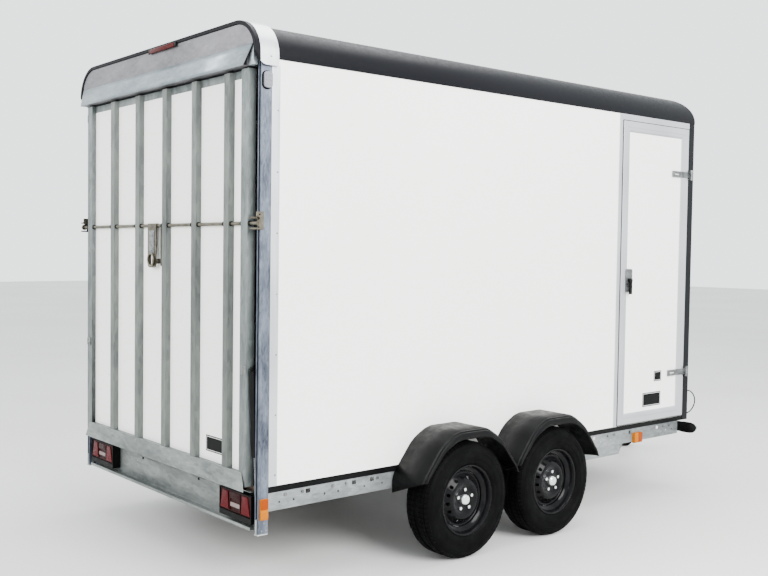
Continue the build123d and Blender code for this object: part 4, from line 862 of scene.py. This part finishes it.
# ---- Lock guides
# Black nylon bushes on the rod wherever it passes a tube or a bar of the ramp, and the
# zinc back plate beside the lever that takes the padlock.
guides = bmesh.new()
rod_height = 1.827
bar_middles = [-0.560 + 0.317 * index for index in range(5)]
guide_x = [side * x for side in (-1, 1) for x in (0.8375, 0.9070)]
guide_x += [middle + half for middle in bar_middles for half in (-0.0325, 0.0325)]
for x in guide_x:
    bmesh.ops.create_cone(guides, cap_ends=True, segments=20, radius1=0.0135, radius2=0.0125,
                          depth=0.009, matrix=Matrix.Translation((x, rear - 0.0175, rod_height))
                          @ Matrix.Rotation(pi / 2, 4, "Y"))
piece = closed(guides, "rod_bushes", satin_black)
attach(piece, "ramp")
lever_x = -0.062
lever_trim = bmesh.new()
block(lever_trim, (lever_x - 0.030, rear - 0.0345, 1.662), (lever_x + 0.030, rear - 0.0312, 1.800),
      0.0025, 3)
for z in (1.690, 1.772):
    bmesh.ops.create_cone(lever_trim, cap_ends=True, segments=16, radius1=0.008, radius2=0.007,
                          depth=0.004, matrix=Matrix.Translation((lever_x, rear - 0.0360, z))
                          @ Matrix.Rotation(pi / 2, 4, "X"))
piece = closed(lever_trim, "lever_trim", bright)
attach(piece, "lock")
ring_line = [(0.0055 * cos(2 * pi * i / 10), 0.034 + 0.0055 * sin(2 * pi * i / 10))
             for i in range(10)]
ring = lathe(ring_line, 36, True)
bmesh.ops.rotate(ring, cent=(0, 0, 0), matrix=Matrix.Rotation(pi / 2, 3, "Z"), verts=ring.verts)
bmesh.ops.translate(ring, vec=(lever_x, rear - 0.0375, 1.634), verts=ring.verts)
piece = closed(ring, "lever_ring", plated)
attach(piece, "lock")
back_plate = bmesh.new()
block(back_plate, (-0.004, rear - 0.0085, 1.600), (0.034, rear - 0.0050, 1.822), 0.0012)
block(back_plate, (-0.100, rear - 0.0085, 1.612), (-0.004, rear - 0.0050, 1.640), 0.0012)
piece = closed(back_plate, "lever_back_plate", plated)
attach(piece, "ramp")

# ---- Fasteners
# Rows of small pan-head screws and blind rivets that fix the trims, profiles, posts
# and apron, all in bright zinc.
screw_rows = [
    ("chassis", (1, 0, 0), [(0.9735, rear + 0.098, 0.58 + 0.30 * i) for i in range(7)]),
    ("chassis", (-1, 0, 0), [(-0.9735, rear + 0.098, 0.58 + 0.30 * i) for i in range(7)]),
    ("chassis", (1, 0, 0), [(0.973, rear + 0.020, 0.310), (0.973, rear + 0.048, 0.310),
                            (0.973, rear + 0.034, 0.348)]),
    ("chassis", (-1, 0, 0), [(-0.973, rear + 0.020, 0.310), (-0.973, rear + 0.048, 0.310),
                             (-0.973, rear + 0.034, 0.348)]),
    ("chassis", (1, 0, 0), [(0.987, rear + 0.045, 2.634)]),
    ("chassis", (-1, 0, 0), [(-0.987, rear + 0.045, 2.634)]),
    ("ramp", (0, -1, 0), [(x, rear - 0.0345, 0.574) for x in bar_middles]),
]
for index, (body, facing, places) in enumerate(screw_rows):
    heads = bmesh.new()
    turn = Vector((0, 0, 1)).rotation_difference(Vector(facing)).to_matrix().to_4x4()
    for place in places:
        made = bmesh.ops.create_uvsphere(heads, u_segments=12, v_segments=6, radius=0.0048,
                                         matrix=Matrix.Translation(place) @ turn
                                         @ Matrix.Diagonal((1, 1, 0.5, 1)))
    piece = closed(heads, f"screws_{index}", bright)
    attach(piece, body)

# ---- Plain labels
# Blank dark plastic labels with a pale edge, on the ramp's skin and on the door.
label_ink = Finish("label_dark", Roughness=0.35, Specular_IOR_Level=0.06)
label_ink.drive("Base Color", label_ink.ramp(label_ink.noise(30, 2), (0.3, (0.0008, 0.0008, 0.001)),
                                             (0.7, (0.002, 0.002, 0.0022))))
label_edge = Finish("label_edge", Roughness=0.4)
label_edge.drive("Base Color", label_edge.ramp(
    label_edge.noise(30, 2), (0.3, (0.55, 0.55, 0.54)), (0.7, (0.65, 0.65, 0.64))))
for name, body, low, high in (
        ("ramp_label", "ramp", (0.492, rear - 0.0057, 0.635), (0.672, rear - 0.0050, 0.720)),
        ("door_label", "door", (0.9756, rear + 3.230, 0.632), (0.9763, rear + 3.447, 0.729)),
        ("door_label_small", "door", (0.9756, rear + 3.362, 0.802), (0.9763, rear + 3.452, 0.874))):
    across = 0 if body == "ramp" else 1
    for word, finish, inset, lift in (("plate", label_ink, 0.0, 0.0),
                                      ("edge", label_edge, 0.006, 1.0),
                                      ("field", label_ink, 0.009, 2.0)):
        form = bmesh.new()
        start, end = Vector(low), Vector(high)
        for place in (across, 2):
            start[place] += inset
            end[place] -= inset
        raise_by = Vector((0, -0.0002, 0)) if body == "ramp" else Vector((0.0002, 0, 0))
        block(form, start + raise_by * lift, end + raise_by * lift)
        piece = closed(form, name + "_" + word, finish)
        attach(piece, body)
